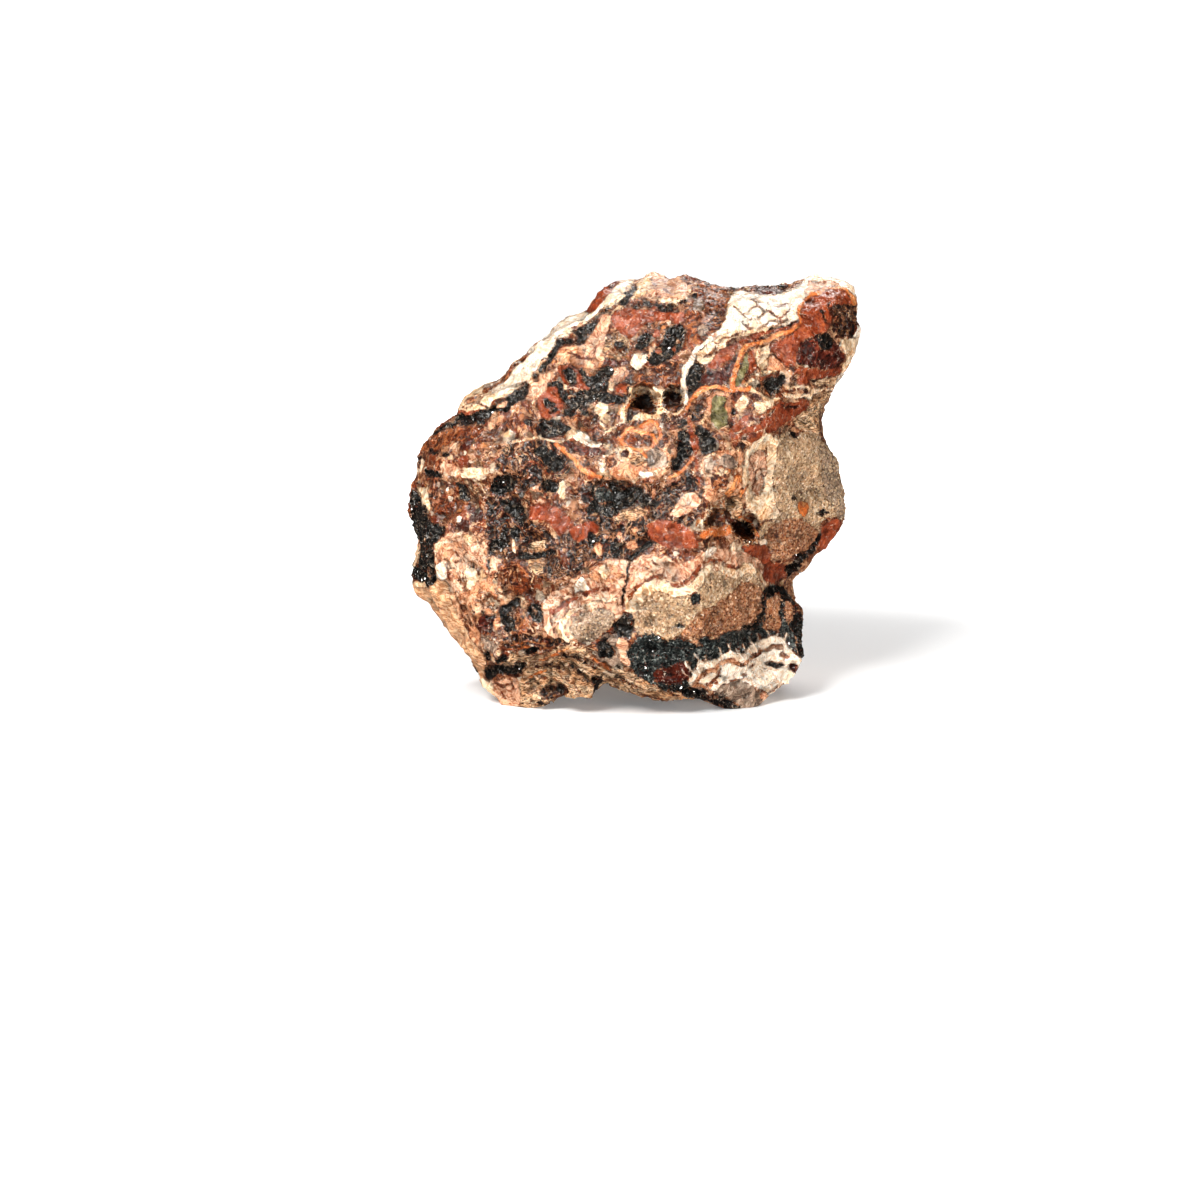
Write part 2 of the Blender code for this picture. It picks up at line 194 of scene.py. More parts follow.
patch("selvage", "hematite", "457,415 476,413 491,405 497,402 505,399 516,391 524,382 530,382 527,395"
      " 524,401 511,406 509,410 504,412 498,409 492,413 484,422 474,424 456,421")
patch("pink in selvage", "pink", "493,407 500,402 506,401 508,405 502,408")
patch("pink streak", "pink", "530,384 536,379 541,371 549,370 553,376 544,392 540,400 530,402 524,404"
      " 528,395")
vein("black chain", "hematite", 5, "542,370 548,362 554,351 560,344 565,342")
spots("black crumb", "hematite", "536,376 2.5,3")
patch("black by clast", "hematite", "548,384 556,380 566,385 563,395 556,392 550,390")
patch("left clast", "jasper", "541,395 548,388 556,386 562,396 566,404 560,415 553,411 546,403")

# Upper middle
patch("pink crest", "pink", "637,268 645,268 652,266 664,266 680,276 692,288 684,301 662,304 644,298 630,301"
      " 626,300 632,292")
patch("crest end", "cream", "627,299 633,290 640,281 650,277 652,286 645,296 632,300")
vein("red flecks", "jasper", 1.8, "652,284 656,289", "655,294 659,298", "664,288 668,293")
patch("wedge", "hematite", "634,286 636,289 634,295 629,297 627,304 617,305 620,299 629,290")
patch("second wedge", "hematite", "572,330 578,326 590,322 599,317 595,328 586,335 580,342 576,335")
vein("wedge line", "hematite", 1.6, "584,324 598,315 610,309")
patch("ledge under wedge", "hematite", "555,345 560,339 572,337 584,340 578,343 566,343 560,348")
patch("cream by wedge", "pink", "586,336 592,330 600,322 604,314 610,312 612,322 605,338 608,352 600,358"
      " 590,357 582,348 576,345 584,342")
patch("salmon by wedge", "salmon", "556,352 565,345 577,345 592,352 606,356 602,366 592,369 578,367 570,362"
      " 559,364")
vein("salmon wisps", "jasper", 1.3, "566,350 576,356 586,358", "574,348 584,352 590,360",
     "590,340 596,346 592,352")
patch("brick ledge", "jasper", "611,312 625,307 640,309 660,312 680,314 688,302 690,312 682,324 660,320"
      " 643,324 636,334 628,339 618,331 612,322")
vein("ledge lines", "hematite", 2.6, "634,306 640,303 650,303 658,306 668,306 685,301",
     "656,307 664,311 676,310")
patch("ledge strip", "cream", "652,296 660,299 672,298 690,297 680,302 658,303")
vein("salmon strip", "salmon", 3.5, "656,322 668,321")
patch("khaki rim", "tan", "606,340 614,336 622,335 629,339 629,350 624,355 616,350 617,341 608,352 603,354")
# Painted shade: the small pit is drawn near-black
patch("small pit", "goethite", "616,341 622,341 627,346 626,351 622,355 616,350")
patch("black eye", "hematite", "633,346 640,337 648,330 652,336 648,346 640,350")
patch("black ring", "hematite", "650,366 652,352 662,345 664,335 670,326 684,324 685,338 680,352 668,358"
      " 660,366")
spots("ring middle", "cream", "677,341 2,3")
spots("ring crumbs", "jasper", "659,352 4,3", "674,350 3,3", "656,334 4,5")
patch("brown column", "brown", "684,305 692,303 700,315 697,330 700,345 690,352 686,342 685,330 686,318")
patch("plum streak", "plum", "603,360 612,358 620,362 632,356 646,350 640,356 628,364 614,368 606,366")
patch("white clast", "quartz", "629,361 638,352 650,353 648,362 640,368 632,365")
patch("big black", "hematite", "578,372 584,368 592,376 600,368 610,366 615,372 610,380 608,390 612,395"
      " 624,396 630,384 630,398 618,405 600,402 592,400 585,408 576,411 566,403 559,394 559,386 568,388"
      " 580,390 590,388 584,380")
patch("red fork", "jasper", "557,366 566,361 576,369 586,381 594,389 580,389 570,386 562,378")
patch("black in fork", "hematite", "562,369 569,366 575,374 581,384 573,385 567,377")
patch("pink grey clast", "pink", "611,380 618,368 626,366 631,372 622,382 614,386")
patch("red clast below", "jasper", "616,385 624,382 629,388 624,395 616,392")
spots("cream crumbs", "cream", "612,386 2.5,5", "567,386 3,4", "571,395 3,2")
patch("red mass", "brown", "630,376 640,368 652,366 665,362 683,360 682,375 678,389 660,387 640,384")
spots("grey bits", "grey", "649,371 3.5,3.5", "672,378 4,2.5")
spots("left clast", "jasper", "551,407 13,13")
spots("left clast cores", "hematite", "550,405 5,4", "555,412 4,3")
spots("wet blob", "hematite", "570,412 6,6", "584,412 6,4")
patch("cream blob", "cream", "593,404 600,400 606,403 608,410 600,416 593,412")
patch("wet dark", "hematite", "538,420 552,420 566,424 572,430 560,436 545,434")
patch("vug surround", "cream", "618,420 620,408 628,400 629,386 634,388 643,386 652,386 660,390 668,390"
      " 680,386 685,396 685,406 680,416 668,414 658,420 657,428 648,422 638,421 628,424")
# The vugs: a brown lining, drawn near-black as painted shade of their depth
patch("upper vug", "goethite", "626,412 632,402 638,396 648,394 654,399 657,408 655,415 645,413 635,414"
      " 631,421 625,423")
spots("second vug", "goethite", "672,402 11,11")
vein("vug rim", "orange", 2.5, "624,412 630,402 636,395", "652,397 656,404")
vein("white vein", "quartz", 6, "716,336 704,344 695,353 690,361 685,368 683,380 682,390 686,402")
patch("speckled black", "hematite", "688,367 696,362 703,365 703,374 706,380 700,388 694,397 688,399 686,386")
patch("dark clast", "ironstone", "660,415 672,414 682,418 682,426 661,425")
patch("dark by vein", "ironstone", "690,408 700,403 705,415 698,425 691,420")

# Upper right
patch("speckled column", "brown", "700,276 730,278 733,290 728,305 726,316 720,330 708,340 698,348 694,330"
      " 696,300")
patch("column spot", "plum", "719,312 724,308 729,315 726,322")
spots("column pebbles", "grey", "703,332 6,8", "699,305 6,7")
patch("white zone", "quartz", "732,290 746,290 756,294 770,297 784,291 800,285 808,276 820,264 836,268"
      " 852,276 866,292 868,330 866,352 858,372 838,386 830,392 826,386 838,374 846,362 843,350 838,344"
      " 846,341 855,337 857,318 857,304 851,294 841,289 824,290 808,295 800,304 799,316 796,320 770,328"
      " 740,331 720,339 706,352 700,352 708,341 720,331 726,316")
patch("blush in white zone", "pink", "808,283 818,279 832,280 842,284 838,288 822,288 808,293 802,296")
patch("wispy foot", "cream", "696,354 706,346 720,338 740,330 770,326 796,320 795,325 770,331 740,340"
      " 726,348 716,352 706,364 698,362")
vein("flakes", "brown", 1.7, "736,306 744,314 752,320", "748,312 758,306 764,312",
     "757,318 768,312 778,316 789,310", "762,325 771,320 782,319", "742,322 750,328",
     "768,304 776,308 786,304", "778,322 788,318", "752,300 760,303")
vein("foot wisps", "brown", 1.8, "716,344 726,340 738,335", "728,344 742,337 756,334", "706,356 716,348")
patch("plum cap", "plum", "755,291 760,284 772,282 790,285 786,291 772,294 762,294")
vein("cap line", "hematite", 3, "731,290 738,286 747,286", "759,286 772,284 782,287")
patch("red clast", "jasper", "800,305 808,297 824,291 841,290 851,295 856,304 848,306 832,310 831,322"
      " 829,331 815,335 800,343 780,352 771,350 772,344 790,334 797,328 800,322 798,311")
vein("red clast rim", "orange", 4, "798,322 799,312 801,303 809,295 825,289 841,288 852,294 857,304")
vein("red clast cracks", "hematite", 1.5, "821,312 828,323", "829,304 830,313")
patch("brown wedge", "jasper", "771,348 784,340 798,334 803,340 798,363 788,366 778,356")
patch("speckled cap", "ironstone", "831,308 848,305 857,304 860,320 856,336 843,339 835,332 833,322")
vein("cap specks", "cream", 2, "836,312 842,314 846,320", "850,312 852,322", "838,324 844,330 850,330")
patch("plum clast", "plum", "800,340 816,336 821,333 830,334 833,340 840,348 843,356 840,365 829,369 820,368"
      " 808,365 797,364 797,354")
patch("plum clast core", "hematite", "816,337 822,334 830,335 832,342 830,349 822,350 817,345")
patch("brick under clast", "jasper", "794,366 808,367 828,370 842,366 838,374 820,378 800,378 796,372")
patch("cream corner", "cream", "838,341 850,338 862,338 862,352 850,368 840,378 838,370 845,360 843,350")
patch("mottle under wedge", "salmon", "770,352 778,358 790,368 796,376 790,378 780,371 764,370 768,360")
patch("tan shelf", "tan", "810,378 825,378 839,376 834,386 822,386 812,384")
vein("brick strip", "jasper", 4, "740,342 752,337 768,332 784,327 796,321")
vein("brick strip line", "hematite", 1.4, "768,330 784,324 795,320")
patch("rose lens", "jasper", "706,366 716,353 726,348 738,343 738,347 734,355 728,361 720,367 710,371")
patch("plum under lens", "plum", "702,372 712,371 726,367 734,357 738,352 733,371 729,383 716,387 700,386")
patch("green sliver", "epidote", "746,354 751,350 750,361 746,370 741,383 735,391 734,384 738,370")
patch("brick chip", "jasper", "749,352 754,349 756,370 749,376 747,370")
patch("cream chip", "cream", "755,350 768,345 770,351 766,369 757,368")
vein("orange vein", "orange", 4.5, "796,325 788,330 770,338 756,344 747,347 740,355 736,366 733,379 732,391")
vein("rim of black clast", "cream", 3,
     "740,389 750,381 757,376 765,371 780,371 790,378 789,388 800,386 811,388")
patch("black clast", "hematite", "763,381 769,377 786,375 789,380 781,389 773,397 768,390")
patch("brick by clast", "jasper", "796,378 806,376 810,384 798,386")
patch("dark lens", "plum", "749,391 760,390 769,395 766,399 756,399")
vein("cream line", "cream", 3.5, "748,388 760,394 770,403 784,395 800,396 811,397 813,391 832,388")
patch("rose around green", "salmon", "706,398 714,391 728,391 732,404 731,424 722,438 711,430 707,412")
patch("green clast", "epidote", "713,396 726,395 727,408 727,422 720,434 713,424 711,408")
vein("orange across", "orange", 4.5, "686,408 692,398 698,391 710,388 720,387 730,391 740,390 749,388")
# Painted shade: the pin hole is drawn black
spots("pin hole", "hematite", "732.5,413 2.5,2.5")
patch("cream clast", "cream", "738,400 744,393 748,398 746,411 738,415 735,408")
patch("second cream clast", "cream", "753,400 764,402 774,400 773,408 764,414 755,411")
patch("red band", "jasper", "728,428 740,418 760,415 776,405 792,401 811,400 809,409 793,417 785,425 770,433"
      " 750,437 732,441")
vein("band wisps", "cream", 2, "736,432 748,424 762,420", "742,436 756,430 768,427")
vein("band darks", "plum", 3, "750,420 762,418 774,411", "784,408 798,406")
patch("khaki zone", "tan", "812,394 832,390 830,397 820,411 821,435 805,432 796,428 790,420 809,410")

# Left side
patch("edge line", "hematite", "427,438 434,430 450,421 470,424 450,427 434,434")
patch("brown patch", "brown", "428,440 442,431 462,426 482,425 484,430 470,440 452,441 436,450 420,455"
      " 417,452")
spots("grey clast", "pink", "452,445 5,4")
patch("plum chip", "plum", "459,447 470,437 475,440 466,451")
spots("black flecks", "hematite", "434,452 3,2.5", "445,455 5,3", "416,459 4,4")
patch("peach strip", "salmon", "500,413 506,416 489,431 485,428 495,416")
patch("black chip", "hematite", "423,470 435,469 444,480 436,479 424,475")
patch("cream mottle", "cream", "456,470 470,465 492,468 482,478 462,478")
patch("pink mottle", "pink", "440,462 456,464 460,474 448,480 440,474")
vein("tan streaks", "tan", 3, "466,480 476,488 484,498", "482,482 490,490")
vein("cream streaks", "cream", 2.2, "474,480 484,488 492,498", "470,488 476,496")
patch("dark streak", "hematite", "457,482 464,485 471,499 464,502 459,495")
patch("left face", "pink", "434,545 440,538 452,534 462,531 475,532 485,540 492,550 502,552 504,562 498,572"
      " 490,582 488,594 478,596 466,598 456,598 450,592 447,580 434,580 434,562")
patch("face mottle", "salmon", "436,548 446,542 458,542 466,550 460,560 448,562 438,560")
patch("face white at skin", "quartz", "432,566 440,563 447,566 448,578 440,580 433,578")
patch("face white", "cream", "461,572 470,567 478,569 486,576 483,588 474,584 466,591 460,582")
patch("face white above", "cream", "460,536 470,533 478,535 483,543 474,541 468,546")
vein("face veins", "salmon", 3, "455,555 466,564 476,562 486,570", "450,565 456,578 466,590",
     "480,540 484,552 490,566")
vein("face cracks", "jasper", 1.4, "460,572 464,580 461,590", "452,550 458,556 468,552",
     "486,566 488,580 486,590", "470,562 480,574", "446,566 450,580")
vein("face line", "hematite", 1.6, "487,562 488,572")
patch("skin cream", "cream", "419,486 424,484 430,497 429,515 421,500 413,492")
patch("black skin", "hematite", "410,498 414,487 418,490 423,503 433,524 445,526 440,539 434,552 435,570"
      " 438,592 428,588 415,578 411,572 420,560 416,545 410,520")
patch("skin bit", "cream", "417,551 421,552 415,567 412,566")
patch("pale nub", "cream", "414,582 420,582 427,585 428,592 424,596 413,589")
# Painted highlights: grey streaks drawn where the wet black skin shines
vein("skin glints", "grey", 1.5, "430,566 431,582", "424,540 427,552")
patch("red field", "brown", "432,503 450,499 460,498 463,504 450,515 436,514")
patch("dark hollow", "plum", "467,505 476,508 474,516 468,514")
patch("dark left middle", "ironstone", "484,500 500,494 528,500 530,521 545,530 566,548 590,552 580,575"
      " 540,580 520,556 500,560 488,552 486,530")
patch("first knot", "hematite", "497,478 506,488 494,494 492,488")
patch("second knot", "hematite", "499,497 512,498 522,506 528,520 516,524 500,504")
spots("third knot", "hematite", "515,535 5,9")
patch("fourth knot", "hematite", "490,540 502,531 510,526 512,533 507,548 495,550 492,557 487,553")
patch("dark knob", "ironstone", "496,468 500,450 514,443 530,440 548,441 560,447 566,458 570,474 556,486"
      " 545,482 530,486 520,494 504,496 494,484")
# Painted shadow: the shade under the dark knob, drawn in the black ore's colours
patch("knob shadow", "hematite", "492,478 504,474 514,478 520,486 510,494 496,494")
patch("knob crest", "hematite", "530,446 546,446 560,454 566,466 558,474 548,466 538,458")
patch("knob foot", "hematite", "540,480 552,478 562,482 556,492 544,490")
vein("knob wisps", "jasper", 2.2, "504,464 512,456 522,452", "516,470 528,462 540,464 546,474",
     "520,480 534,474")
patch("cream sliver", "cream", "511,540 515,541 515,554 511,554")
patch("brick arch", "jasper", "526,508 540,504 556,505 568,512 576,528 566,545 558,534 545,520 530,521")
spots("oval clast", "cream", "563,490 5,10")
patch("tan slab", "tan", "527,541 545,540 546,551 528,552")
vein("black bar", "hematite", 7, "521,554 536,555 552,553")
patch("tan clast", "tan", "527,557 545,556 545,575 530,574")

# Centre
patch("dark middle", "ironstone", "576,486 600,480 640,484 690,488 704,500 690,530 650,545 610,560 570,556"
      " 548,548 560,535 580,528 588,510")
vein("upper line", "cream", 3, "515,443 525,437 540,436 550,440 562,441 570,437 578,431")
vein("centre vein", "orange", 5, "556,444 562,449 568,455 575,461 580,468 590,474 600,478 614,479")
vein("vein branch", "salmon", 4, "573,456 583,458 584,466", "604,478 618,480 634,478")
patch("plum tongue", "plum", "560,440 582,446 602,450 606,454 592,458 580,452 568,450")
patch("loops ground", "salmon", "596,468 604,456 612,446 620,440 626,430 640,422 658,424 662,440 668,450"
      " 672,462 664,474 645,482 622,482 602,476")
patch("loops brown", "brown", "586,430 596,426 606,432 604,444 596,446 590,440")
patch("white boat", "quartz", "572,436 580,430 584,431 590,438 596,443 603,444 600,449 590,447 582,441")
vein("thin creams", "cream", 2.6, "600,421 606,428", "604,436 612,429 624,422", "604,444 610,448")
patch("loop of brown", "brown", "622,440 626,434 636,433 650,438 650,446 640,446 630,444")
patch("brown clast in loops", "grey", "646,462 648,452 655,447 664,452 668,460 660,468 648,468")
patch("khaki in loops", "tan", "630,456 644,454 646,462 638,468 628,464")
vein("orange loops", "orange", 4, "619,442 621,434 629,429 640,430 650,434 654,444",
     "619,442 628,447 640,449 646,458", "640,425 650,420 657,425 658,438")
vein("pale loops", "cream", 2.6, "598,468 602,458 612,452 620,446", "644,470 652,474 662,468 668,462",
     "625,476 634,482 641,476 650,477", "606,470 612,478")
spots("pale ring", "cream", "624,454 9,8")
spots("loop eyes", "plum", "624,454 4,4", "636,442 3,2", "595,437 3,5", "661,444 3,4")
spots("loop clasts", "brown", "610,462 5,5", "586,464 3,3")
patch("white foot", "quartz", "598,460 604,462 604,472 598,474")
patch("second white foot", "quartz", "636,474 646,470 654,474 644,478")
patch("black ear", "hematite", "676,430 690,430 692,455 681,460 677,470 672,470 670,460 679,450 675,440")
patch("black right of vein", "hematite", "696,424 706,430 717,440 713,456 700,453 698,440")
patch("black foot of vein", "ironstone", "670,484 680,478 690,468 694,476 700,485 707,492 700,497 690,489"
      " 678,493")
vein("brick vein", "jasper", 3.6, "690,418 693,440 694,455 697,470 700,484")
vein("tan branch", "orange", 3.4, "693,457 686,465 680,472 670,477")
patch("middle band", "hematite", "586,508 594,500 588,489 600,484 614,482 619,491 628,489 638,485 645,490"
      " 651,497 661,503 656,507 640,508 625,512 610,519 600,514 588,516")
spots("band bloom", "flecked ore", "604,496 9,9")
patch("tan lens", "tan", "611,519 622,514 632,509 649,508 646,514 636,520 620,522")
vein("lens edge", "cream", 1.4, "613,517 624,512 634,508 646,507")
patch("pink clast", "pink", "667,515 680,500 692,490 699,496 700,503 692,512 680,519")
spots("pink crumb", "salmon", "654,493 3,5")
patch("swirls", "salmon", "700,458 712,452 728,450 742,446 744,470 740,496 726,506 712,506 702,496 706,484"
      " 700,472")
spots("swirl clasts", "grey", "729,462 9,7", "708,466 5,9")
spots("swirl brown", "brown", "719,481 8,8")
vein("swirl lines", "cream", 2.2, "700,470 705,477 713,478 720,470 728,473 733,484 726,492 716,492",
     "704,458 712,454 718,462 714,474", "716,440 722,430 728,424", "738,448 734,456 740,466")
vein("amber streaks", "orange", 3, "680,537 694,531 702,518 712,508 722,500 732,488 736,474",
     "728,470 738,476 742,484")
vein("pale streaks", "cream", 2.6, "686,534 698,528 706,514 716,505 724,497", "704,532 702,520")
patch("brick field", "jasper", "646,522 665,520 684,524 698,538 700,548 684,550 664,546 650,538")
patch("brick lump", "jasper", "569,532 578,524 592,520 600,528 596,534 582,540 572,542")
patch("left crumbs", "hematite", "586,532 594,532 600,540 596,550 587,548")
patch("middle crumbs", "hematite", "610,542 624,541 622,556 612,558")
spots("red crumbs", "salmon", "598,549 5,5", "630,545 5,5", "606,536 4,3", "636,530 4,4", "620,534 4,4")

# Right flank
patch("sandy flank", "sandstone", "772,446 780,436 786,430 795,437 803,432 812,430 826,446 839,463 841,490"
      " 848,515 843,519 826,518 820,524 818,535 812,545 795,556 775,556 758,545 760,527 775,519 777,510"
      " 770,500")
patch("orange spot", "orange", "799,501 804,501 809,505 806,518 801,517")
patch("dark chip", "hematite", "789,431 794,430 799,441 791,436")
spots("flank specks", "hematite", "794,498 2,2", "823,513 4,3")
vein("grey diagonal", "hematite", 8, "820,537 812,548 803,557 792,572")
patch("brick edge", "jasper", "820,522 843,520 833,540 825,554 820,553")
patch("flank pale", "cream", "744,452 756,440 770,430 780,440 778,456 772,480 776,505 781,516 764,522"
      " 750,512 741,494")
patch("flank blush", "pink", "748,458 762,450 768,462 764,482 756,498 748,486")
vein("flank wisps", "jasper", 1.3, "750,462 756,474 752,488", "760,466 764,482 760,496", "770,446 766,458")
patch("flank brown", "red sand", "758,545 766,530 780,522 798,518 812,522 818,535 812,547 796,558 775,562"
      " 764,556")
patch("flank grey", "grey sand", "822,440 832,450 845,462 850,490 858,515 836,520 828,498 820,470")
patch("orange ledge", "orange", "702,531 718,525 731,522 735,532 716,537 702,539")
patch("golden flap", "tan", "723,506 730,499 738,499 745,508 740,515 730,517")
vein("golden wisps", "orange", 3, "728,498 736,488 740,476", "740,498 744,488")
vein("side vug rim", "orange", 4, "740,517 752,522 758,535")
# The side vug, pocket and slot: a brown lining, drawn near-black as painted shade of their depth
patch("side vug", "goethite", "729,520 742,520 750,527 756,538 746,541 736,537 732,528")
patch("side pocket", "goethite", "704,526 706,514 715,508 722,512 716,522 709,527")
patch("vug slot", "goethite", "721,506 727,507 733,518 728,518")
# Painted shade: the small hole is drawn black
spots("small hole", "hematite", "748,541 3,2.5")
patch("crystal heap", "quartz", "758,540 766,538 766,548 759,548")
patch("brick under vug", "jasper", "735,545 770,545 770,575 752,570 740,560")
patch("cream under vug", "cream", "705,547 722,545 722,575 706,572")
patch("cream chip under vug", "cream", "730,542 742,540 742,560 731,558")
vein("grey streaks", "grey", 4, "705,460 720,465 735,462")
vein("cream streaks", "cream", 3, "705,470 720,476 735,472")

# Lower middle
patch("pink face", "pink", "545,600 552,592 562,590 572,580 585,572 600,560 612,556 622,558 632,560 650,552"
      " 665,556 680,566 690,560 705,548 722,548 745,552 760,560 768,580 764,592 740,600 700,610 650,620"
      " 615,616 590,640 575,646 556,640 546,632 541,622")
patch("pit with arm", "hematite", "625,554 632,556 640,545 655,538 652,546 640,552 636,560 628,560")
patch("pink face blush", "salmon", "588,565 620,563 622,578 605,584 590,578")
patch("white in pink face", "quartz", "573,585 580,577 586,580 589,591 580,588 576,595")
patch("white above crack", "cream", "597,570 604,566 611,572 606,578 600,575")
patch("white by crack", "quartz", "704,553 712,546 719,551 714,557 706,559")
vein("white streaks", "cream", 3, "552,622 562,620 572,612 586,606 600,600", "596,594 608,600 618,598")
vein("brick streaks", "jasper", 4, "554,613 562,607 570,602 579,599", "582,592 594,588 607,588")
vein("thin brick lines", "jasper", 1.6, "551,608 551,620 556,634", "570,590 577,596 586,594",
     "560,600 568,596", "640,566 650,572", "652,560 660,568")
patch("cream band", "cream", "624,600 634,594 640,588 652,580 660,578 666,580 673,588 683,590 694,583"
      " 700,570 714,564 726,566 738,570 746,560 756,568 764,578 768,590 764,600 742,590 722,586 706,590"
      " 696,602 680,606 662,600 650,606 646,618 634,622 626,612")
vein("wavy brick line", "jasper", 2.8, "630,600 637,588 645,583 652,578 660,576 666,577 672,584 679,587"
     " 687,583 693,578 697,570 704,564 714,561 722,562 730,567 739,568")
patch("sandy face", "sandstone", "640,612 645,600 650,595 660,592 668,594 676,599 686,596 694,595 698,590"
      " 702,585 706,576 712,574 720,571 728,575 736,581 742,577 750,571 757,576 762,584 766,592 764,602"
      " 762,612 756,624 742,629 732,630 722,634 716,637 705,634 697,640 694,644 688,642 680,636 674,637"
      " 668,641 663,638 655,632 648,634 640,635 634,630 632,622 634,614")
patch("sandy red", "red sand", "700,612 712,606 726,598 736,588 748,580 762,588 765,600 762,612 756,624"
      " 742,629 722,634 705,634 697,641 688,640 680,634 688,622")
spots("grey in sandy", "flecked ore", "697,599 5,7", "679,625 4,2")
patch("sandy left", "grey sand", "568,630 574,620 584,612 600,606 612,610 616,616 612,628 604,636 596,642"
      " 584,646 576,640")
vein("white under sandy", "cream", 6, "572,612 562,622 561,632 568,642 578,648")
vein("crack", "hematite", 1.8, "630,560 628,575 625,590 622,605")
patch("crack foot", "hematite", "624,610 632,616 632,629 628,637 618,634 613,627 620,618")
patch("flecked surround", "grey", "594,652 600,640 610,634 622,636 628,648 627,664 614,666 598,661")
patch("flecked black", "hematite", "596,650 600,642 608,639 612,644 618,652 610,658 600,657")
patch("tan strip", "pink", "617,637 627,636 629,668 620,664 620,650")

# Black band and the quartz vein at the lower right
patch("black band", "flecked ore", "626,650 632,640 642,634 650,634 655,632 663,640 668,642 674,638 680,638"
      " 694,646 698,640 705,635 716,638 724,634 742,631 757,625 763,613 766,600 765,586 780,584 790,596"
      " 800,610 806,626 804,650 806,664 790,660 775,645 752,650 736,656 722,658 706,666 695,674 690,686"
      " 706,690 726,698 746,713 736,716 712,708 690,696 668,690 645,682 630,672")
patch("black band core", "hematite", "766,586 780,584 790,596 800,610 806,626 804,650 806,664 796,656"
      " 796,636 788,622 780,612 776,596 768,592 766,604 764,616 758,626 742,631 738,628 752,624 760,612"
      " 762,600")
patch("black band foot", "hematite", "690,686 706,690 726,698 746,713 736,716 712,708 690,696 668,690"
      " 672,680")
patch("dark red in band", "plum", "652,674 662,668 676,664 690,662 690,672 684,682 668,684 656,682")
patch("red in band", "red sand", "766,602 778,592 782,600 776,612 783,626 776,632 764,628 766,616")
patch("brick cap", "jasper", "762,568 775,564 787,566 786,578 776,584 764,581")
patch("dark under flank", "hematite", "787,566 802,562 800,572 796,584 786,582")
patch("pale mottle", "red sand", "784,604 790,600 795,612 790,622 784,616")
spots("red crumb", "salmon", "697,644 3.5,3")
# Painted highlights: short grey lines where the wet black band foot shines
vein("painted glints on band foot", "grey", 1.4, "700,694 712,700", "706,690 718,698", "716,692 728,700", "724,694 734,704",
     "712,704 724,708")
patch("lower vein", "quartz", "686,680 694,670 702,660 708,663 716,660 722,654 730,652 738,654 746,652"
      " 752,644 758,640 766,636 776,636 784,640 790,648 797,656 806,662 802,674 792,684 786,694 778,704"
      " 756,712 746,713 738,706 730,698 716,689 700,688 690,686")
vein("vein blush", "salmon", 4.5, "694,685 702,676 710,672 716,671 718,664 724,661 732,661 742,665 748,662"
     " 756,656 762,650 772,647 782,647", "698,684 708,686 716,682")
vein("vein brick", "jasper", 2, "740,664 744,666", "743,673 748,675 741,680 730,680",
     "722,668 718,676 708,682", "756,656 764,651", "756,692 768,694 780,688", "750,668 756,664")
patch("vein black", "hematite", "766,664 772,661 780,662 786,665 778,668 770,667")
patch("vein plum", "plum", "788,662 798,664 797,674 788,670")
patch("second vein plum", "brown", "780,650 789,653 788,659 779,656")
patch("vein grey", "grey", "714,689 728,682 742,681 751,684 755,690 760,698 772,702 760,710 748,714 738,707"
      " 730,699 722,693")
patch("vein foot", "pink", "752,684 762,691 774,690 786,686 788,694 778,706 768,704 758,696")
vein("vein spikes", "quartz", 1.8, "692,672 686,664", "700,662 696,654", "708,664 706,656", "722,655 720,647",
     "730,653 729,645", "738,655 737,648", "746,652 743,645", "753,644 750,637", "760,639 758,632",
     "768,637 768,630", "776,637 778,631", "784,641 788,635", "690,678 682,672")

# Lower left
patch("face wisps", "salmon", "470,588 486,578 500,572 502,590 512,600 500,606 498,616 484,612 470,616"
      " 462,604 456,596")
patch("brown swirls", "brown", "498,566 508,558 520,560 532,570 536,585 526,596 510,592 500,582")
vein("swirl lines", "plum", 2, "503,572 512,568 520,574 518,583 508,585 505,578",
     "506,562 518,562 528,572 531,582")
vein("cream arcs", "cream", 2.4, "496,588 501,597 509,600 518,597", "528,568 532,576 531,584",
     "500,572 494,580 498,590", "516,604 524,606", "520,598 526,603 532,604")
vein("curled wisps", "cream", 2.2, "488,602 494,598 498,603 494,609 488,606", "476,600 482,596 488,594",
     "470,606 478,604 484,610")
vein("curled lines", "brown", 1.4, "484,600 490,596 500,600", "492,612 500,606", "472,598 480,600 484,606",
     "478,590 486,594")
patch("black horn", "hematite", "500,606 508,602 517,597 521,603 515,612 514,630 506,633 501,622")
patch("second horn", "hematite", "526,606 534,602 541,606 544,615 540,625 535,622 528,614")
# Painted highlights: grey streaks drawn where the wet black horns shine
vein("horn glints", "grey", 1.5, "511,603 516,611", "509,612 513,618", "532,608 538,614")
patch("swirled brown", "brown", "515,612 524,608 532,618 536,628 530,636 518,636 513,628")
vein("swirl of horn", "salmon", 2.4, "518,618 524,614 528,622 534,630", "516,626 522,632 530,634")
patch("small hollow", "plum", "478,620 484,612 490,616 497,615 492,622 492,632 484,630")
vein("hollow line", "hematite", 2.4, "481,612 488,618 496,615", "490,624 489,631")
spots("hollow lip", "salmon", "496,625 4,7")
patch("pale under hollow", "grey", "478,634 490,634 498,640 504,652 496,660 487,652 480,644")
vein("pale wisps", "cream", 2.4, "484,636 494,640 500,650", "480,646 486,656 494,662")
patch("dark streaks", "ironstone", "498,640 512,634 530,634 545,638 562,640 572,644 556,648 536,646 515,648"
      " 504,650")
vein("streak lines", "orange", 1.6, "510,646 528,642 545,644", "506,652 522,648 540,648 560,648")
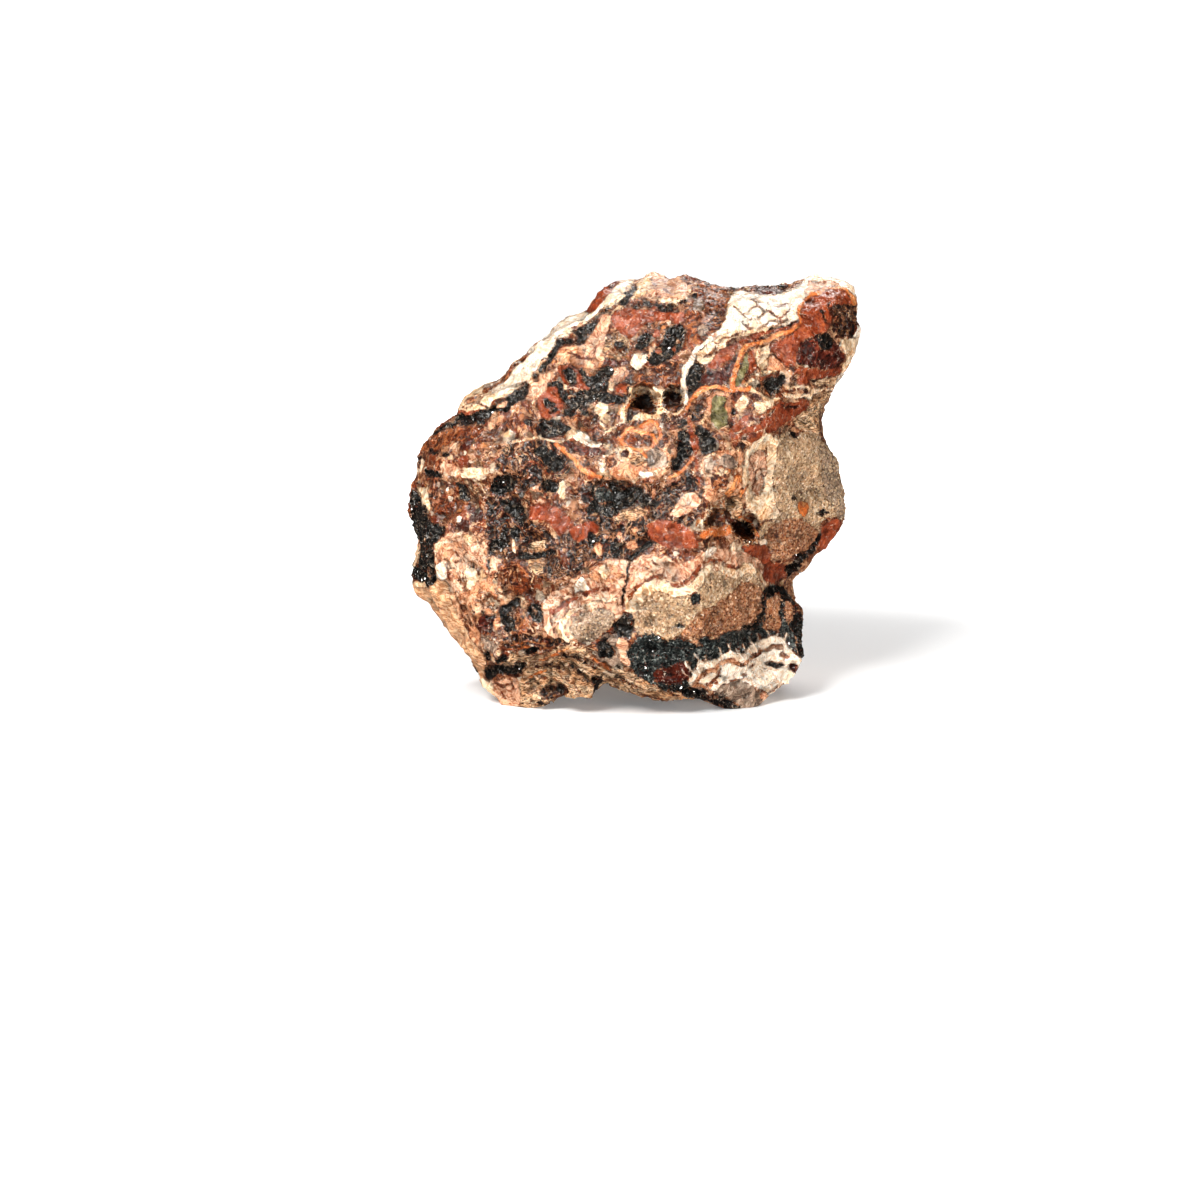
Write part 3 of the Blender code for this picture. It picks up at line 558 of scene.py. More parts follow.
patch("tan skin", "rind", "400,578 412,584 424,590 436,582 447,579 452,594 457,606 464,622 471,638 479,650"
      " 488,668 480,684 460,672 440,640 420,610 404,596")
patch("streaked side", "salmon", "450,592 458,594 467,606 474,618 478,632 480,650 472,642 464,624 456,608")
vein("dark streak lines", "brown", 2, "458,598 466,612 474,626", "462,614 470,632", "470,606 476,620")
patch("layers", "tan", "500,662 510,654 526,657 545,654 560,646 572,643 584,649 596,658 606,666 622,669"
      " 638,677 652,685 672,691 692,697 712,708 690,716 640,720 600,716 520,716 516,700 520,678 528,668"
      " 522,664 508,668")
vein("layer bands", "cream", 3, "512,664 530,662 548,662 562,652 576,648", "580,656 592,664 604,670 618,676",
     "566,664 584,670 596,678", "602,672 616,678 632,682 646,688")
vein("layer bands of amber", "orange", 2.4, "540,660 556,654 568,650", "590,656 600,664 612,670",
     "528,676 545,672")
# Painted shade: black lines in the gaps between the layers
vein("painted shade in layer gaps", "hematite", 2, "560,655 572,657 584,660 596,668", "572,666 582,674 588,682",
     "545,668 552,664", "616,676 628,684 640,690", "530,700 545,704 560,702")
vein("layer lines", "brown", 1.6, "530,668 545,666 560,668", "524,684 536,678 548,680",
     "560,676 572,682 580,694", "612,684 624,692 636,698", "640,694 660,698 680,702")
# Painted shade: a dark patch and a black hollow in the recess of the layered foot, drawn in ore colours
patch("layer shade", "ironstone", "538,690 550,684 562,682 568,690 560,698 542,700")
patch("layer hollow", "hematite", "552,686 560,684 566,690 556,695")
# Painted shade: the dark recess between the two feet, drawn in the black ore's colours
patch("painted shade between feet", "hematite", "590,676 600,677 607,684 612,694 626,700 640,714 600,716 596,700"
      " 594,688")
patch("black lens", "hematite", "524,651 531,647 538,645 543,649 535,655 527,655")
vein("lens rim", "tan", 1.6, "520,652 530,658 540,656 546,650")
patch("black toe", "hematite", "484,668 500,666 512,667 520,661 528,663 524,669 519,677 500,674 490,679"
      " 484,675")
patch("black by toe", "hematite", "495,660 500,656 510,656 506,663 498,664")
patch("black beside skin", "hematite", "484,650 489,654 490,662 485,660")
spots("toe clast", "tan", "498,653 3.5,3.5")
patch("pink foot", "pink", "476,674 492,680 504,680 517,676 521,684 521,700 515,712 498,714 484,704")
patch("foot pale side", "cream", "478,676 490,680 494,692 491,704 484,698")
vein("foot stains", "jasper", 2, "494,682 502,687 508,684", "501,693 506,698", "512,680 516,690")
patch("skin between", "hematite", "516,708 522,702 524,716 512,718")
# The lump itself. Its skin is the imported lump's, worn a little, then broken up into each mineral's ledges,
# crags and pits. The patches run over its rim to the sides and back, bent more the further back they lie.
STONE = "hematite_rough"
SKIN_VOXEL = 0.42
WEAR_ROUNDS = 5
HOLLOW_ROUNDS = 14
STONE_TRIANGLES = 194000
FOOT_HEIGHT = 1.2
FAR = 2.5
CORE = np.array([630.0, 490.0])
SECTORS = 72
RIM_SHARE = 40
BACK_RING = (18.0, 30.0)
BACK_TURN = math.radians(115)
BACK_SHIFT = np.array([30.0, -20.0])
EDGE_WARPS = ((6.0, 0.3, 91), (2.6, 0.5, 101), (1.1, 0.35, 131))
BACK_WARP = (14.0, 0.22, 5.0, 151)
BACK_DRIFT = 0.8


def copy_of_node(name):
    """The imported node's mesh as a new one with its loose triangles joined."""
    mesh = bpy.data.objects[name].data.copy()
    joined = bmesh.new()
    joined.from_mesh(mesh)
    bmesh.ops.remove_doubles(joined, verts=joined.verts, dist=1e-7)
    joined.to_mesh(mesh)
    joined.free()
    return mesh


def applied(piece, kind, **settings):
    """Gives the piece a modifier and keeps its result as the piece's plain mesh."""
    modifier = piece.modifiers.new(kind.title(), kind)
    for name, value in settings.items():
        setattr(modifier, name, value)
    shaped = bpy.data.meshes.new_from_object(piece.evaluated_get(bpy.context.evaluated_depsgraph_get()))
    piece.modifiers.clear()
    piece.data = shaped


def vectors(owner, name, count):
    """A vector of each vertex, read from the mesh in one go."""
    flat = np.empty(count * 3, dtype=np.float32)
    owner.foreach_get(name, flat)
    return flat.reshape(-1, 3).astype(float)


def places(mesh):
    """The mesh's vertices in millimetres."""
    return vectors(mesh.vertices, "co", len(mesh.vertices)) / MM


def move_to(mesh, points):
    mesh.vertices.foreach_set("co", (points * MM).astype(np.float32).ravel())
    mesh.update()


def worn(mesh, rounds):
    """Averages each vertex with its neighbours, which takes the sharp facet edges off."""
    ends = np.empty(len(mesh.edges) * 2, dtype=np.int64)
    mesh.edges.foreach_get("vertices", ends)
    first, second = ends.reshape(-1, 2).T
    points = places(mesh)
    count = np.bincount(ends, minlength=len(points))[:, None]
    for _ in range(rounds):
        total = np.stack([
            np.bincount(first, points[second, axis], len(points))
            + np.bincount(second, points[first, axis], len(points))
            for axis in range(3)
        ], axis=1)
        points = 0.5 * points + 0.5 * total / count
    return points


def lattice_values(corner, seed):
    """A repeatable random value from -1 to 1 for each corner of a lattice."""
    key = (corner * np.array([73856093, 19349663, 83492791])).sum(axis=-1) + seed * 2654435
    key = (key ^ (key >> 13)) * 1274126177 & 0x7FFFFFFF
    key = (key ^ (key >> 16)) * 2246822519 & 0x7FFFFFFF
    return (key >> 7 & 0xFFFF) / 32767.5 - 1


def lumps(points, size, seed):
    """Smooth random lumps and hollows of the given size in millimetres, from -1 to 1."""
    place = points / size
    corner = np.floor(place).astype(np.int64)
    part = place - corner
    ease = part * part * (3 - 2 * part)
    value = np.zeros(len(points))
    for step in itertools.product((0, 1), repeat=3):
        share = np.prod(np.where(step, ease, 1 - ease), axis=1)
        value += share * lattice_values(corner + np.array(step), seed)
    return value


def broken_faces(points, size, seed):
    """Flat tilted break faces of the given size, as heights from about -1 to 1."""
    place = points / size
    corner = np.floor(place).astype(np.int64)
    nearest = np.full(len(points), 9.0)
    height = np.zeros(len(points))
    for step in itertools.product((-1, 0, 1), repeat=3):
        cell = corner + np.array(step)
        shift = np.stack([lattice_values(cell, seed + axis) for axis in range(3)], axis=1)
        away = place - (cell + 0.5 + 0.42 * shift)
        distance = (away * away).sum(axis=1)
        tilt = np.stack([lattice_values(cell, seed + 3 + axis) for axis in range(3)], axis=1)
        closer = distance < nearest
        height = np.where(closer, (away * tilt).sum(axis=1) + 0.4 * lattice_values(cell, seed + 6), height)
        nearest = np.where(closer, distance, nearest)
    return height


def eased(value, start, end):
    """Rises smoothly from 0 at start to 1 at end."""
    part = np.clip((value - start) / (end - start), 0, 1)
    return part * part * (3 - 2 * part)


def outside(line, closed, half_width, place):
    """How far each place lies outside an outline or a line's half width, in pixels; negative inside."""
    first, second = (line, np.roll(line, -1, axis=0)) if closed else (line[:-1], line[1:])
    run = second - first
    from_first = place[:, None] - first
    along = np.clip((from_first * run).sum(axis=2) / (run * run).sum(axis=1), 0, 1)
    distance = np.linalg.norm(from_first - along[..., None] * run, axis=2).min(axis=1)
    if not closed:
        return distance - half_width
    crossed = (first[:, 1] > place[:, 1:]) != (second[:, 1] > place[:, 1:])
    slope = run[:, 0] / np.where(run[:, 1] == 0, 1, run[:, 1])
    left_of = place[:, :1] < first[:, 0] + (place[:, 1:] - first[:, 1]) * slope
    inside = (crossed & left_of).sum(axis=1) % 2 == 1
    return np.where(inside, -distance, distance)


def mineral_fields(place):
    """How far each place lies outside each mineral, in millimetres. A later patch covers the earlier ones."""
    fields = {mineral: np.full(len(place), FAR) for mineral in MINERALS}
    margin = FAR / PIXEL
    for mineral, line, closed, half_width in DRAWN:
        box_low, box_high = line.min(axis=0) - margin, line.max(axis=0) + margin
        near = np.nonzero(((place > box_low) & (place < box_high)).all(axis=1))[0]
        gap = outside(line, closed, half_width, place[near]) * PIXEL
        for other, field in fields.items():
            if other == mineral:
                field[near] = np.minimum(field[near], gap)
            else:
                field[near] = np.maximum(field[near], np.minimum(-gap, FAR))
    return {mineral: np.clip(field, -FAR, FAR) for mineral, field in fields.items()}


def sector_of(arm):
    return (np.arctan2(arm[:, 1], arm[:, 0]) / (2 * math.pi) + 0.5) * SECTORS


def rim_depths(points):
    """How deep behind the camera's target the lump is widest, for each direction round its core."""
    seen, depth = seen_at(points)
    arm = seen - CORE
    reach = np.linalg.norm(arm, axis=1)
    sector = sector_of(arm).astype(int) % SECTORS
    rims = []
    for number in range(SECTORS):
        inside = np.nonzero(sector == number)[0]
        widest = inside[np.argsort(reach[inside])[-RIM_SHARE:]]
        rims.append(depth[widest].mean())
    return np.array(rims)


def minerals_at(points, rims):
    """The mineral fields on the skin: as the camera sees them in front, folded back over the rim behind."""
    seen, depth = seen_at(points)
    for size, bend, seed in EDGE_WARPS:
        seen = seen + np.stack([lumps(points, size, seed + axis) for axis in range(2)], axis=1) * bend / PIXEL
    arm = seen - CORE
    reach = np.linalg.norm(arm, axis=1)
    rims_round = np.concatenate([rims[-1:], rims, rims[:1]])
    rim = np.interp(sector_of(arm) - 0.5, np.arange(-1, SECTORS + 1), rims_round)
    behind = np.maximum(depth - rim, 0)
    size, growth, most, seed = BACK_WARP
    bend = np.minimum(behind * growth, most) / PIXEL
    swing = np.stack([lumps(points, size, seed + axis) for axis in range(2)], axis=1) * bend[:, None]
    back_steps = (behind / PIXEL / np.maximum(reach, 1))[:, None]
    folded = CORE + arm * (1 - back_steps) + BACK_DRIFT * back_steps * arm[:, ::-1] * (1, -1) + swing
    fields = mineral_fields(folded)
    ring = reach * PIXEL + 3 * lumps(points, 6.0, 171)
    share = eased(ring, BACK_RING[1], BACK_RING[0]) * eased(behind, 4, 12)
    back = np.nonzero(share > 0)[0]
    cosine, sine = math.cos(BACK_TURN), math.sin(BACK_TURN)
    turn = np.array([[cosine, -sine], [sine, cosine]])
    back_fields = mineral_fields(CORE + BACK_SHIFT + arm[back] @ turn + swing[back])
    for mineral, field in fields.items():
        field[back] += share[back] * (back_fields[mineral] - field[back])
    return fields


stone = bpy.data.objects.new("stone", copy_of_node(STONE))
bpy.context.collection.objects.link(stone)
applied(stone, "REMESH", mode="VOXEL", voxel_size=SKIN_VOXEL * MM)

skin = worn(stone.data, WEAR_ROUNDS)
move_to(stone.data, skin)
rims = rim_depths(skin)
fields = minerals_at(skin, rims)

crags = 0.55 * broken_faces(skin, 4.2, 11) + 0.45 * broken_faces(skin, 1.9, 23) + 0.25 * lumps(skin, 0.9, 5)
relief = 0.8 * crags
for mineral, field in fields.items():
    kind = MINERALS[mineral]
    share = eased(-field, -0.25, 0.25)
    relief += share * (kind.level + kind.crag * crags - relief)
relief = np.clip(relief - 0.25, -2.2, 0.45)
calm = eased(skin[:, 2], 0, FOOT_HEIGHT)
normals = vectors(stone.data.vertex_normals, "vector", len(skin))
skin = skin + normals * (relief * calm)[:, None]
low, high = (np.array(corner) / MM for corner in cad_box)
move_to(stone.data, np.clip(skin, low, high))
kept = STONE_TRIANGLES / sum(len(face.vertices) - 2 for face in stone.data.polygons)
applied(stone, "DECIMATE", ratio=kept)
stone.data.shade_smooth()

skin = places(stone.data)
fields = minerals_at(skin, rims)
dull = np.full(len(skin), 0.35)
grain = np.full(len(skin), 0.16)
for mineral, field in fields.items():
    kind = MINERALS[mineral]
    share = eased(-field, -0.2, 0.2)
    dull += share * (kind.dull - dull)
    grain += share * (kind.grain - grain)
normals = vectors(stone.data.vertex_normals, "vector", len(skin))
# How deep each vertex lies in a hollow, which the material turns into painted shade
hollow = ((worn(stone.data, HOLLOW_ROUNDS) - skin) * normals).sum(axis=1)
seam = np.min([np.abs(field) for field in fields.values()], axis=0)
room = np.minimum(skin - low, high - skin).min(axis=1)
marks = {"dull": dull, "grain": grain, "seam": seam, "hollow": hollow, "room": room}
for name, values in {**fields, **marks}.items():
    stone.data.attributes.new(name, "FLOAT", "POINT").data.foreach_set("value", values.astype(np.float32))


def hexa(code):
    """A colour of the screen, as #RRGGBB, turned to linear light."""
    parts = [int(code[place:place + 2], 16) / 255 for place in (1, 3, 5)]
    linear = [part / 12.92 if part <= 0.04045 else ((part + 0.055) / 1.055) ** 2.4 for part in parts]
    return [*linear, 1.0]


def stops_of(colours, start=0.0, end=1.0):
    """The colours spread evenly from start to end: first a ramp's own two stops, then the new ones."""
    codes = colours.split()
    span = [start + (end - start) * number / (len(codes) - 1) for number in range(len(codes))]
    stops = [(place, hexa("#" + code)) for place, code in zip(span, codes)]
    return [stops[0], stops[-1], *stops[1:-1]]


def add(tree, kind, inputs=None, stops=None, **settings):
    """Adds one node with its settings, its inputs as values or links, and a ramp's stops where it has them."""
    made = tree.nodes.new(kind)
    for name, value in settings.items():
        setattr(made, name, value)
    for name, value in (inputs or {}).items():
        if isinstance(value, bpy.types.NodeSocket):
            tree.links.new(value, made.inputs[name])
        else:
            made.inputs[name].default_value = value
    for number, (place, colour) in enumerate(stops or []):
        stop = made.color_ramp.elements[number] if number < 2 else made.color_ramp.elements.new(place)
        stop.position = place
        stop.color = colour
    return made


# Wet breccia: each mineral's colour shows where its field is below zero, with an edge as ragged as its grain.
# The film of water over it is the clear coat, which gives the stone its deep tones and small bright lights.
breccia = bpy.data.materials.new("wet_hematite_breccia")
breccia.use_nodes = True
tree = breccia.node_tree
shader = tree.nodes["Principled BSDF"]
shader.inputs["IOR"].default_value = 1.54
shader.inputs["Specular IOR Level"].default_value = 0.15
shader.inputs["Coat Weight"].default_value = 0.9
shader.inputs["Coat Roughness"].default_value = 0.08
shader.inputs["Coat IOR"].default_value = 1.33

object_place = add(tree, "ShaderNodeTexCoord").outputs["Object"]
place = add(tree, "ShaderNodeVectorMath", {0: object_place, "Scale": 1 / MM}, operation="SCALE").outputs[0]
swirl = add(tree, "ShaderNodeTexNoise", {"Vector": place, "Scale": 1 / 1.8, "Detail": 3.0}).outputs["Color"]
swirled = add(tree, "ShaderNodeVectorMath", {
    0: swirl, 1: (1.6, 1.6, 1.6), 2: place}, operation="MULTIPLY_ADD").outputs[0]
beds_place = add(tree, "ShaderNodeMapping", {
    "Vector": swirled, "Rotation": (0, math.radians(8), 0), "Scale": (0.3, 0.3, 1.0)}).outputs[0]
rind_place = add(tree, "ShaderNodeMapping", {
    "Vector": swirled, "Rotation": (0, math.radians(-52), 0), "Scale": (0.2, 0.4, 1.0)}).outputs[0]
grain_cells = add(tree, "ShaderNodeTexVoronoi", {"Vector": place, "Scale": 1 / 0.5})
fleck_cells = add(tree, "ShaderNodeTexVoronoi", {"Vector": swirled, "Scale": 1 / 0.75})
fragment_cells = add(tree, "ShaderNodeTexVoronoi", {"Vector": swirled, "Scale": 1 / 3.6})
chip_cells = add(tree, "ShaderNodeTexVoronoi", {"Vector": swirled, "Scale": 1 / 1.7})
# Each texture's value and the span that it fills
TEXTURES = {
    "cloud": (add(tree, "ShaderNodeTexNoise", {
        "Vector": swirled, "Scale": 1 / 9.0, "Detail": 4.0, "Roughness": 0.6, "Distortion": 0.8,
    }).outputs["Fac"], (0.34, 0.66)),
    "mottle": (add(tree, "ShaderNodeTexNoise", {
        "Vector": swirled, "Scale": 1 / 5.0, "Detail": 4.5, "Roughness": 0.62, "Distortion": 1.0,
    }).outputs["Fac"], (0.28, 0.72)),
    "beds": (add(tree, "ShaderNodeTexNoise", {
        "Vector": beds_place, "Scale": 1 / 2.0, "Detail": 4.0, "Roughness": 0.55}).outputs["Fac"], (0.3, 0.7)),
    "rind": (add(tree, "ShaderNodeTexNoise", {
        "Vector": rind_place, "Scale": 1 / 1.6, "Detail": 4.0, "Roughness": 0.55,
    }).outputs["Fac"], (0.32, 0.68)),
    "grains": (add(tree, "ShaderNodeMix", {
        0: 0.45,
        2: add(tree, "ShaderNodeSeparateColor", {0: grain_cells.outputs["Color"]}).outputs[0],
        3: add(tree, "ShaderNodeTexNoise", {"Vector": place, "Scale": 1 / 1.5, "Detail": 5.0}).outputs["Fac"],
    }, data_type="FLOAT").outputs[0], (0.15, 0.85)),
    "flecks": (add(tree, "ShaderNodeSeparateColor", {0: fleck_cells.outputs["Color"]}).outputs[0], (0.1, 1.0)),
    "fragments": (add(tree, "ShaderNodeSeparateColor", {
        0: fragment_cells.outputs["Color"]}).outputs[1], (0.0, 1.0)),
    "chips": (add(tree, "ShaderNodeSeparateColor", {0: chip_cells.outputs["Color"]}).outputs[1], (0.0, 1.0)),
}
# The ground mass, dark where the cloud is low and pale where it is high
DARK_GROUND = ("080606 160C08 30140A 0E0A0A 56220F 26100A D09468 843C1E 30140A 0C0A0A 1A0E0A 64280F 9A5430"
               " ECC49A 461A0E 100C0C 0C0808 743018 26100A")
PALE_GROUND = ("26100A 6A2C14 944A26 E8B488 843C1E 56220F 964824 361408 88442A BC764A EEC8A0 9A5430 642C16"
               " 8E4626 E2AC7E 74341C AC6438")
ragged = add(tree, "ShaderNodeTexNoise", {
    "Vector": place, "Scale": 1 / 1.7, "Detail": 6.0, "Roughness": 0.8, "Distortion": 0.8}).outputs["Fac"]
cloud, cloud_span = TEXTURES["cloud"]
mottle, mottle_span = TEXTURES["mottle"]
colour = add(tree, "ShaderNodeMix", {
    0: add(tree, "ShaderNodeValToRGB", {0: cloud}, stops=stops_of("000000 FFFFFF", *cloud_span)).outputs[0],
    6: add(tree, "ShaderNodeValToRGB", {0: mottle}, stops=stops_of(DARK_GROUND, *mottle_span)).outputs[0],
    7: add(tree, "ShaderNodeValToRGB", {0: mottle}, stops=stops_of(PALE_GROUND, *mottle_span)).outputs[0],
}, data_type="RGBA").outputs[2]

# Broken clasts in the ground mass: the cells of a ragged net, of which a share is a clast
for cells, texture, clast_share, colours in (
    (fragment_cells, "fragments", 0.55,
     "100C0C 74321A 904426 EEC49A 30140A A25430 F4D8BA 0C0A0A 56220F DCA074"),
    (chip_cells, "chips", 0.5, "0C0A0A 843C1E E8BC92 160C08 F4E0C8 64280F C4804E 0E0A0A 9A4C2A"),
):
    value, span = TEXTURES[texture]
    chosen = add(tree, "ShaderNodeSeparateColor", {0: cells.outputs["Color"]}).outputs[0]
    reach = add(tree, "ShaderNodeMath", {
        0: ragged, 1: 0.6, 2: cells.outputs["Distance"]}, operation="MULTIPLY_ADD").outputs[0]
    spread = add(tree, "ShaderNodeMath", {
        0: chosen, 1: clast_share, 2: reach}, operation="MULTIPLY_ADD").outputs[0]
    mask = add(tree, "ShaderNodeMapRange", {0: spread, 1: 0.86, 2: 0.80}).outputs[0]
    clast = add(tree, "ShaderNodeValToRGB", {0: value}, stops=stops_of(colours, *span)).outputs[0]
    colour = add(tree, "ShaderNodeMix", {0: mask, 6: colour, 7: clast}, data_type="RGBA").outputs[2]

# Each mineral over the ground mass, with a ragged edge a few tenths of a millimetre deep
RAGGED_GAIN = 4.4
EDGE_BLUR = 0.06
for mineral, kind in MINERALS.items():
    field = add(tree, "ShaderNodeAttribute", attribute_name=mineral).outputs["Fac"]
    gain = RAGGED_GAIN * kind.ragged
    edge = add(tree, "ShaderNodeMath", {0: ragged, 1: gain, 2: field}, operation="MULTIPLY_ADD").outputs[0]
    mask = add(tree, "ShaderNodeMapRange", {
        0: edge, 1: gain / 2 + EDGE_BLUR, 2: gain / 2 - EDGE_BLUR}).outputs[0]
    value, span = TEXTURES[kind.texture]
    cover = add(tree, "ShaderNodeValToRGB", {0: value}, stops=stops_of(kind.colours, *span)).outputs[0]
    colour = add(tree, "ShaderNodeMix", {0: mask, 6: colour, 7: cover}, data_type="RGBA").outputs[2]

# Hairline cracks and healed threads through every mineral, thick and thin as the noise's own contour lines are
broken_up = add(tree, "ShaderNodeMapRange", {0: ragged, 1: 0.48, 2: 0.58}).outputs[0]
for size, middle, half_width, strength, code in (
    (3.4, 0.46, 0.016, 0.85, "#120805"),
    (2.6, 0.57, 0.013, 0.8, "#FCE8D2"),
    (4.5, 0.53, 0.010, 0.7, "#943E1E"),
):
    thread = add(tree, "ShaderNodeTexNoise", {
        "Vector": swirled, "Scale": 1 / size, "Detail": 2.5, "Roughness": 0.6, "Distortion": 1.5,
    }).outputs["Fac"]
    away = add(tree, "ShaderNodeMath", {0: thread, 1: middle}, operation="SUBTRACT").outputs[0]
    away = add(tree, "ShaderNodeMath", {0: away}, operation="ABSOLUTE").outputs[0]
    drawn = add(tree, "ShaderNodeMapRange", {
        0: away, 1: half_width, 2: half_width / 3, 4: strength}).outputs[0]
    mask = add(tree, "ShaderNodeMath", {0: drawn, 1: broken_up}, operation="MULTIPLY").outputs[0]
    colour = add(tree, "ShaderNodeMix", {0: mask, 6: colour, 7: hexa(code)}, data_type="RGBA").outputs[2]

# Iron stain in the seams between minerals, and painted shade: the colour darkened in the hollows and lightened
# a little on the ridges
seam = add(tree, "ShaderNodeAttribute", attribute_name="seam").outputs["Fac"]
seam = add(tree, "ShaderNodeMath", {0: ragged, 1: 1.5, 2: seam}, operation="MULTIPLY_ADD").outputs[0]
stain = add(tree, "ShaderNodeMapRange", {0: seam, 1: 0.95, 2: 0.7}).outputs[0]
stain = add(tree, "ShaderNodeMath", {0: stain, 1: 0.75}, operation="MULTIPLY").outputs[0]
colour = add(tree, "ShaderNodeMix", {0: stain, 6: colour, 7: hexa("#2A1410")}, data_type="RGBA").outputs[2]
hollow = add(tree, "ShaderNodeAttribute", attribute_name="hollow").outputs["Fac"]
# Painted shade: a quarter of the colour in the deepest hollows, and painted light of 15 per cent more on the
# ridges
shade = add(tree, "ShaderNodeMapRange", {0: hollow, 1: -0.25, 2: 0.5, 3: 1.15, 4: 0.25}).outputs[0]
colour = add(tree, "ShaderNodeVectorMath", {0: colour, "Scale": shade}, operation="SCALE").outputs[0]
tree.links.new(colour, shader.inputs["Base Color"])
dull = add(tree, "ShaderNodeAttribute", attribute_name="dull").outputs["Fac"]
tree.links.new(dull, shader.inputs["Roughness"])

# Grains and chips under the film of water, and the film's own slow swells
chips = add(tree, "ShaderNodeTexNoise", {
    "Vector": place, "Scale": 1 / 0.7, "Detail": 3.0, "Roughness": 0.6}).outputs["Fac"]
chipped = add(tree, "ShaderNodeMath", {
    0: fleck_cells.outputs["Distance"], 1: chips}, operation="ADD").outputs[0]
grain = add(tree, "ShaderNodeAttribute", attribute_name="grain").outputs["Fac"]
height = add(tree, "ShaderNodeMath", {0: chipped, 1: grain}, operation="MULTIPLY").outputs[0]
bump = add(tree, "ShaderNodeBump", {"Height": height, "Distance": 2 * MM, "Strength": 1.0})
tree.links.new(bump.outputs[0], shader.inputs["Normal"])
film = add(tree, "ShaderNodeTexNoise", {"Vector": place, "Scale": 1 / 1.3, "Detail": 1.5}).outputs["Fac"]
film_bump = add(tree, "ShaderNodeBump", {"Height": film, "Distance": 0.9 * MM, "Strength": 1.0})
tree.links.new(film_bump.outputs[0], shader.inputs["Coat Normal"])
stone.data.materials.clear()
stone.data.materials.append(breccia)

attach(stone, "root")
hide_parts(STONE)

# Sand grains, plates of specular hematite and quartz points. The grains weathered out of the sandy zones, the
# plates stand out of the black ore like broken mica, and the quartz points grew round the mouths of the vugs.
def scatter(name, fields, reach, density, size, seed, shape, material):
    """Sets small shapes on the skin where one of the mineral fields lies within the reach, and joins them."""
    tree = bpy.data.node_groups.new(name, "GeometryNodeTree")
    skin_in = tree.interface.new_socket("Skin", in_out="INPUT", socket_type="NodeSocketGeometry")
    kinds = {"Density": "NodeSocketFloat", "Size": "NodeSocketFloat", "Seed": "NodeSocketInt"}
    sockets = {
        title: tree.interface.new_socket(title, in_out="INPUT", socket_type=kind).identifier
        for title, kind in kinds.items()
    }
    tree.interface.new_socket("Pieces", in_out="OUTPUT", socket_type="NodeSocketGeometry")
    given = tree.nodes.new("NodeGroupInput").outputs
    nearest = None
    for field in fields:
        value = add(tree, "GeometryNodeInputNamedAttribute", {
            "Name": field}, data_type="FLOAT").outputs["Attribute"]
        nearest = value if nearest is None else add(
            tree, "ShaderNodeMath", {0: nearest, 1: value}, operation="MINIMUM").outputs[0]
    above = add(tree, "ShaderNodeMath", {0: nearest, 1: reach[0]}, operation="GREATER_THAN").outputs[0]
    below = add(tree, "ShaderNodeMath", {0: nearest, 1: reach[1]}, operation="LESS_THAN").outputs[0]
    room = add(tree, "GeometryNodeInputNamedAttribute", {
        "Name": "room"}, data_type="FLOAT").outputs["Attribute"]
    roomy = add(tree, "ShaderNodeMath", {0: room, 1: 1.5}, operation="GREATER_THAN").outputs[0]
    chosen = add(tree, "ShaderNodeMath", {0: above, 1: below}, operation="MULTIPLY").outputs[0]
    chosen = add(tree, "ShaderNodeMath", {0: chosen, 1: roomy}, operation="MULTIPLY").outputs[0]
    dense = add(tree, "ShaderNodeMath", {0: chosen, 1: given["Density"]}, operation="MULTIPLY").outputs[0]
    spread = add(tree, "GeometryNodeDistributePointsOnFaces", {
        "Mesh": given["Skin"], "Density": dense, "Seed": given["Seed"]})
    tilt = add(tree, "FunctionNodeRandomValue", {
        0: (-shape["tilt"],) * 3, 1: (shape["tilt"],) * 3, "Seed": given["Seed"],
    }, data_type="FLOAT_VECTOR").outputs[0]
    tilt = add(tree, "FunctionNodeEulerToRotation", {0: tilt}).outputs[0]
    turned = add(tree, "FunctionNodeRotateRotation", {
        "Rotation": spread.outputs["Rotation"], "Rotate By": tilt}, rotation_space="LOCAL").outputs[0]
    share = add(tree, "FunctionNodeRandomValue", {
        2: 0.55, 3: 1.25, "Seed": given["Seed"]}, data_type="FLOAT").outputs[1]
    scale = add(tree, "ShaderNodeMath", {0: share, 1: given["Size"]}, operation="MULTIPLY").outputs[0]
    body = add(tree, shape["kind"], shape["inputs"]).outputs["Mesh"]
    placed = add(tree, "GeometryNodeInstanceOnPoints", {
        "Points": spread.outputs["Points"], "Instance": body, "Rotation": turned, "Scale": scale}).outputs[0]
    tone = add(tree, "FunctionNodeRandomValue", {
        2: 0.0, 3: 1.0, "Seed": given["Seed"]}, data_type="FLOAT").outputs[1]
    toned = add(tree, "GeometryNodeStoreNamedAttribute", {"Geometry": placed, "Name": "tone", "Value": tone},
                data_type="FLOAT", domain="INSTANCE").outputs[0]
    joined = add(tree, "GeometryNodeRealizeInstances", {"Geometry": toned}).outputs[0]
    covered = add(tree, "GeometryNodeSetMaterial", {"Geometry": joined, "Material": material}).outputs[0]
    tree.links.new(covered, tree.nodes.new("NodeGroupOutput").inputs[0])

    piece = bpy.data.objects.new(name, stone.data.copy())
    bpy.context.collection.objects.link(piece)
    modifier = piece.modifiers.new(name, "NODES")
    modifier.node_group = tree
    modifier[sockets["Density"]] = density / MM ** 2
    modifier[sockets["Size"]] = size * MM
    modifier[sockets["Seed"]] = seed
    made = bpy.data.meshes.new_from_object(piece.evaluated_get(bpy.context.evaluated_depsgraph_get()))
    piece.modifiers.clear()
    piece.data = made
    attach(piece, "root")


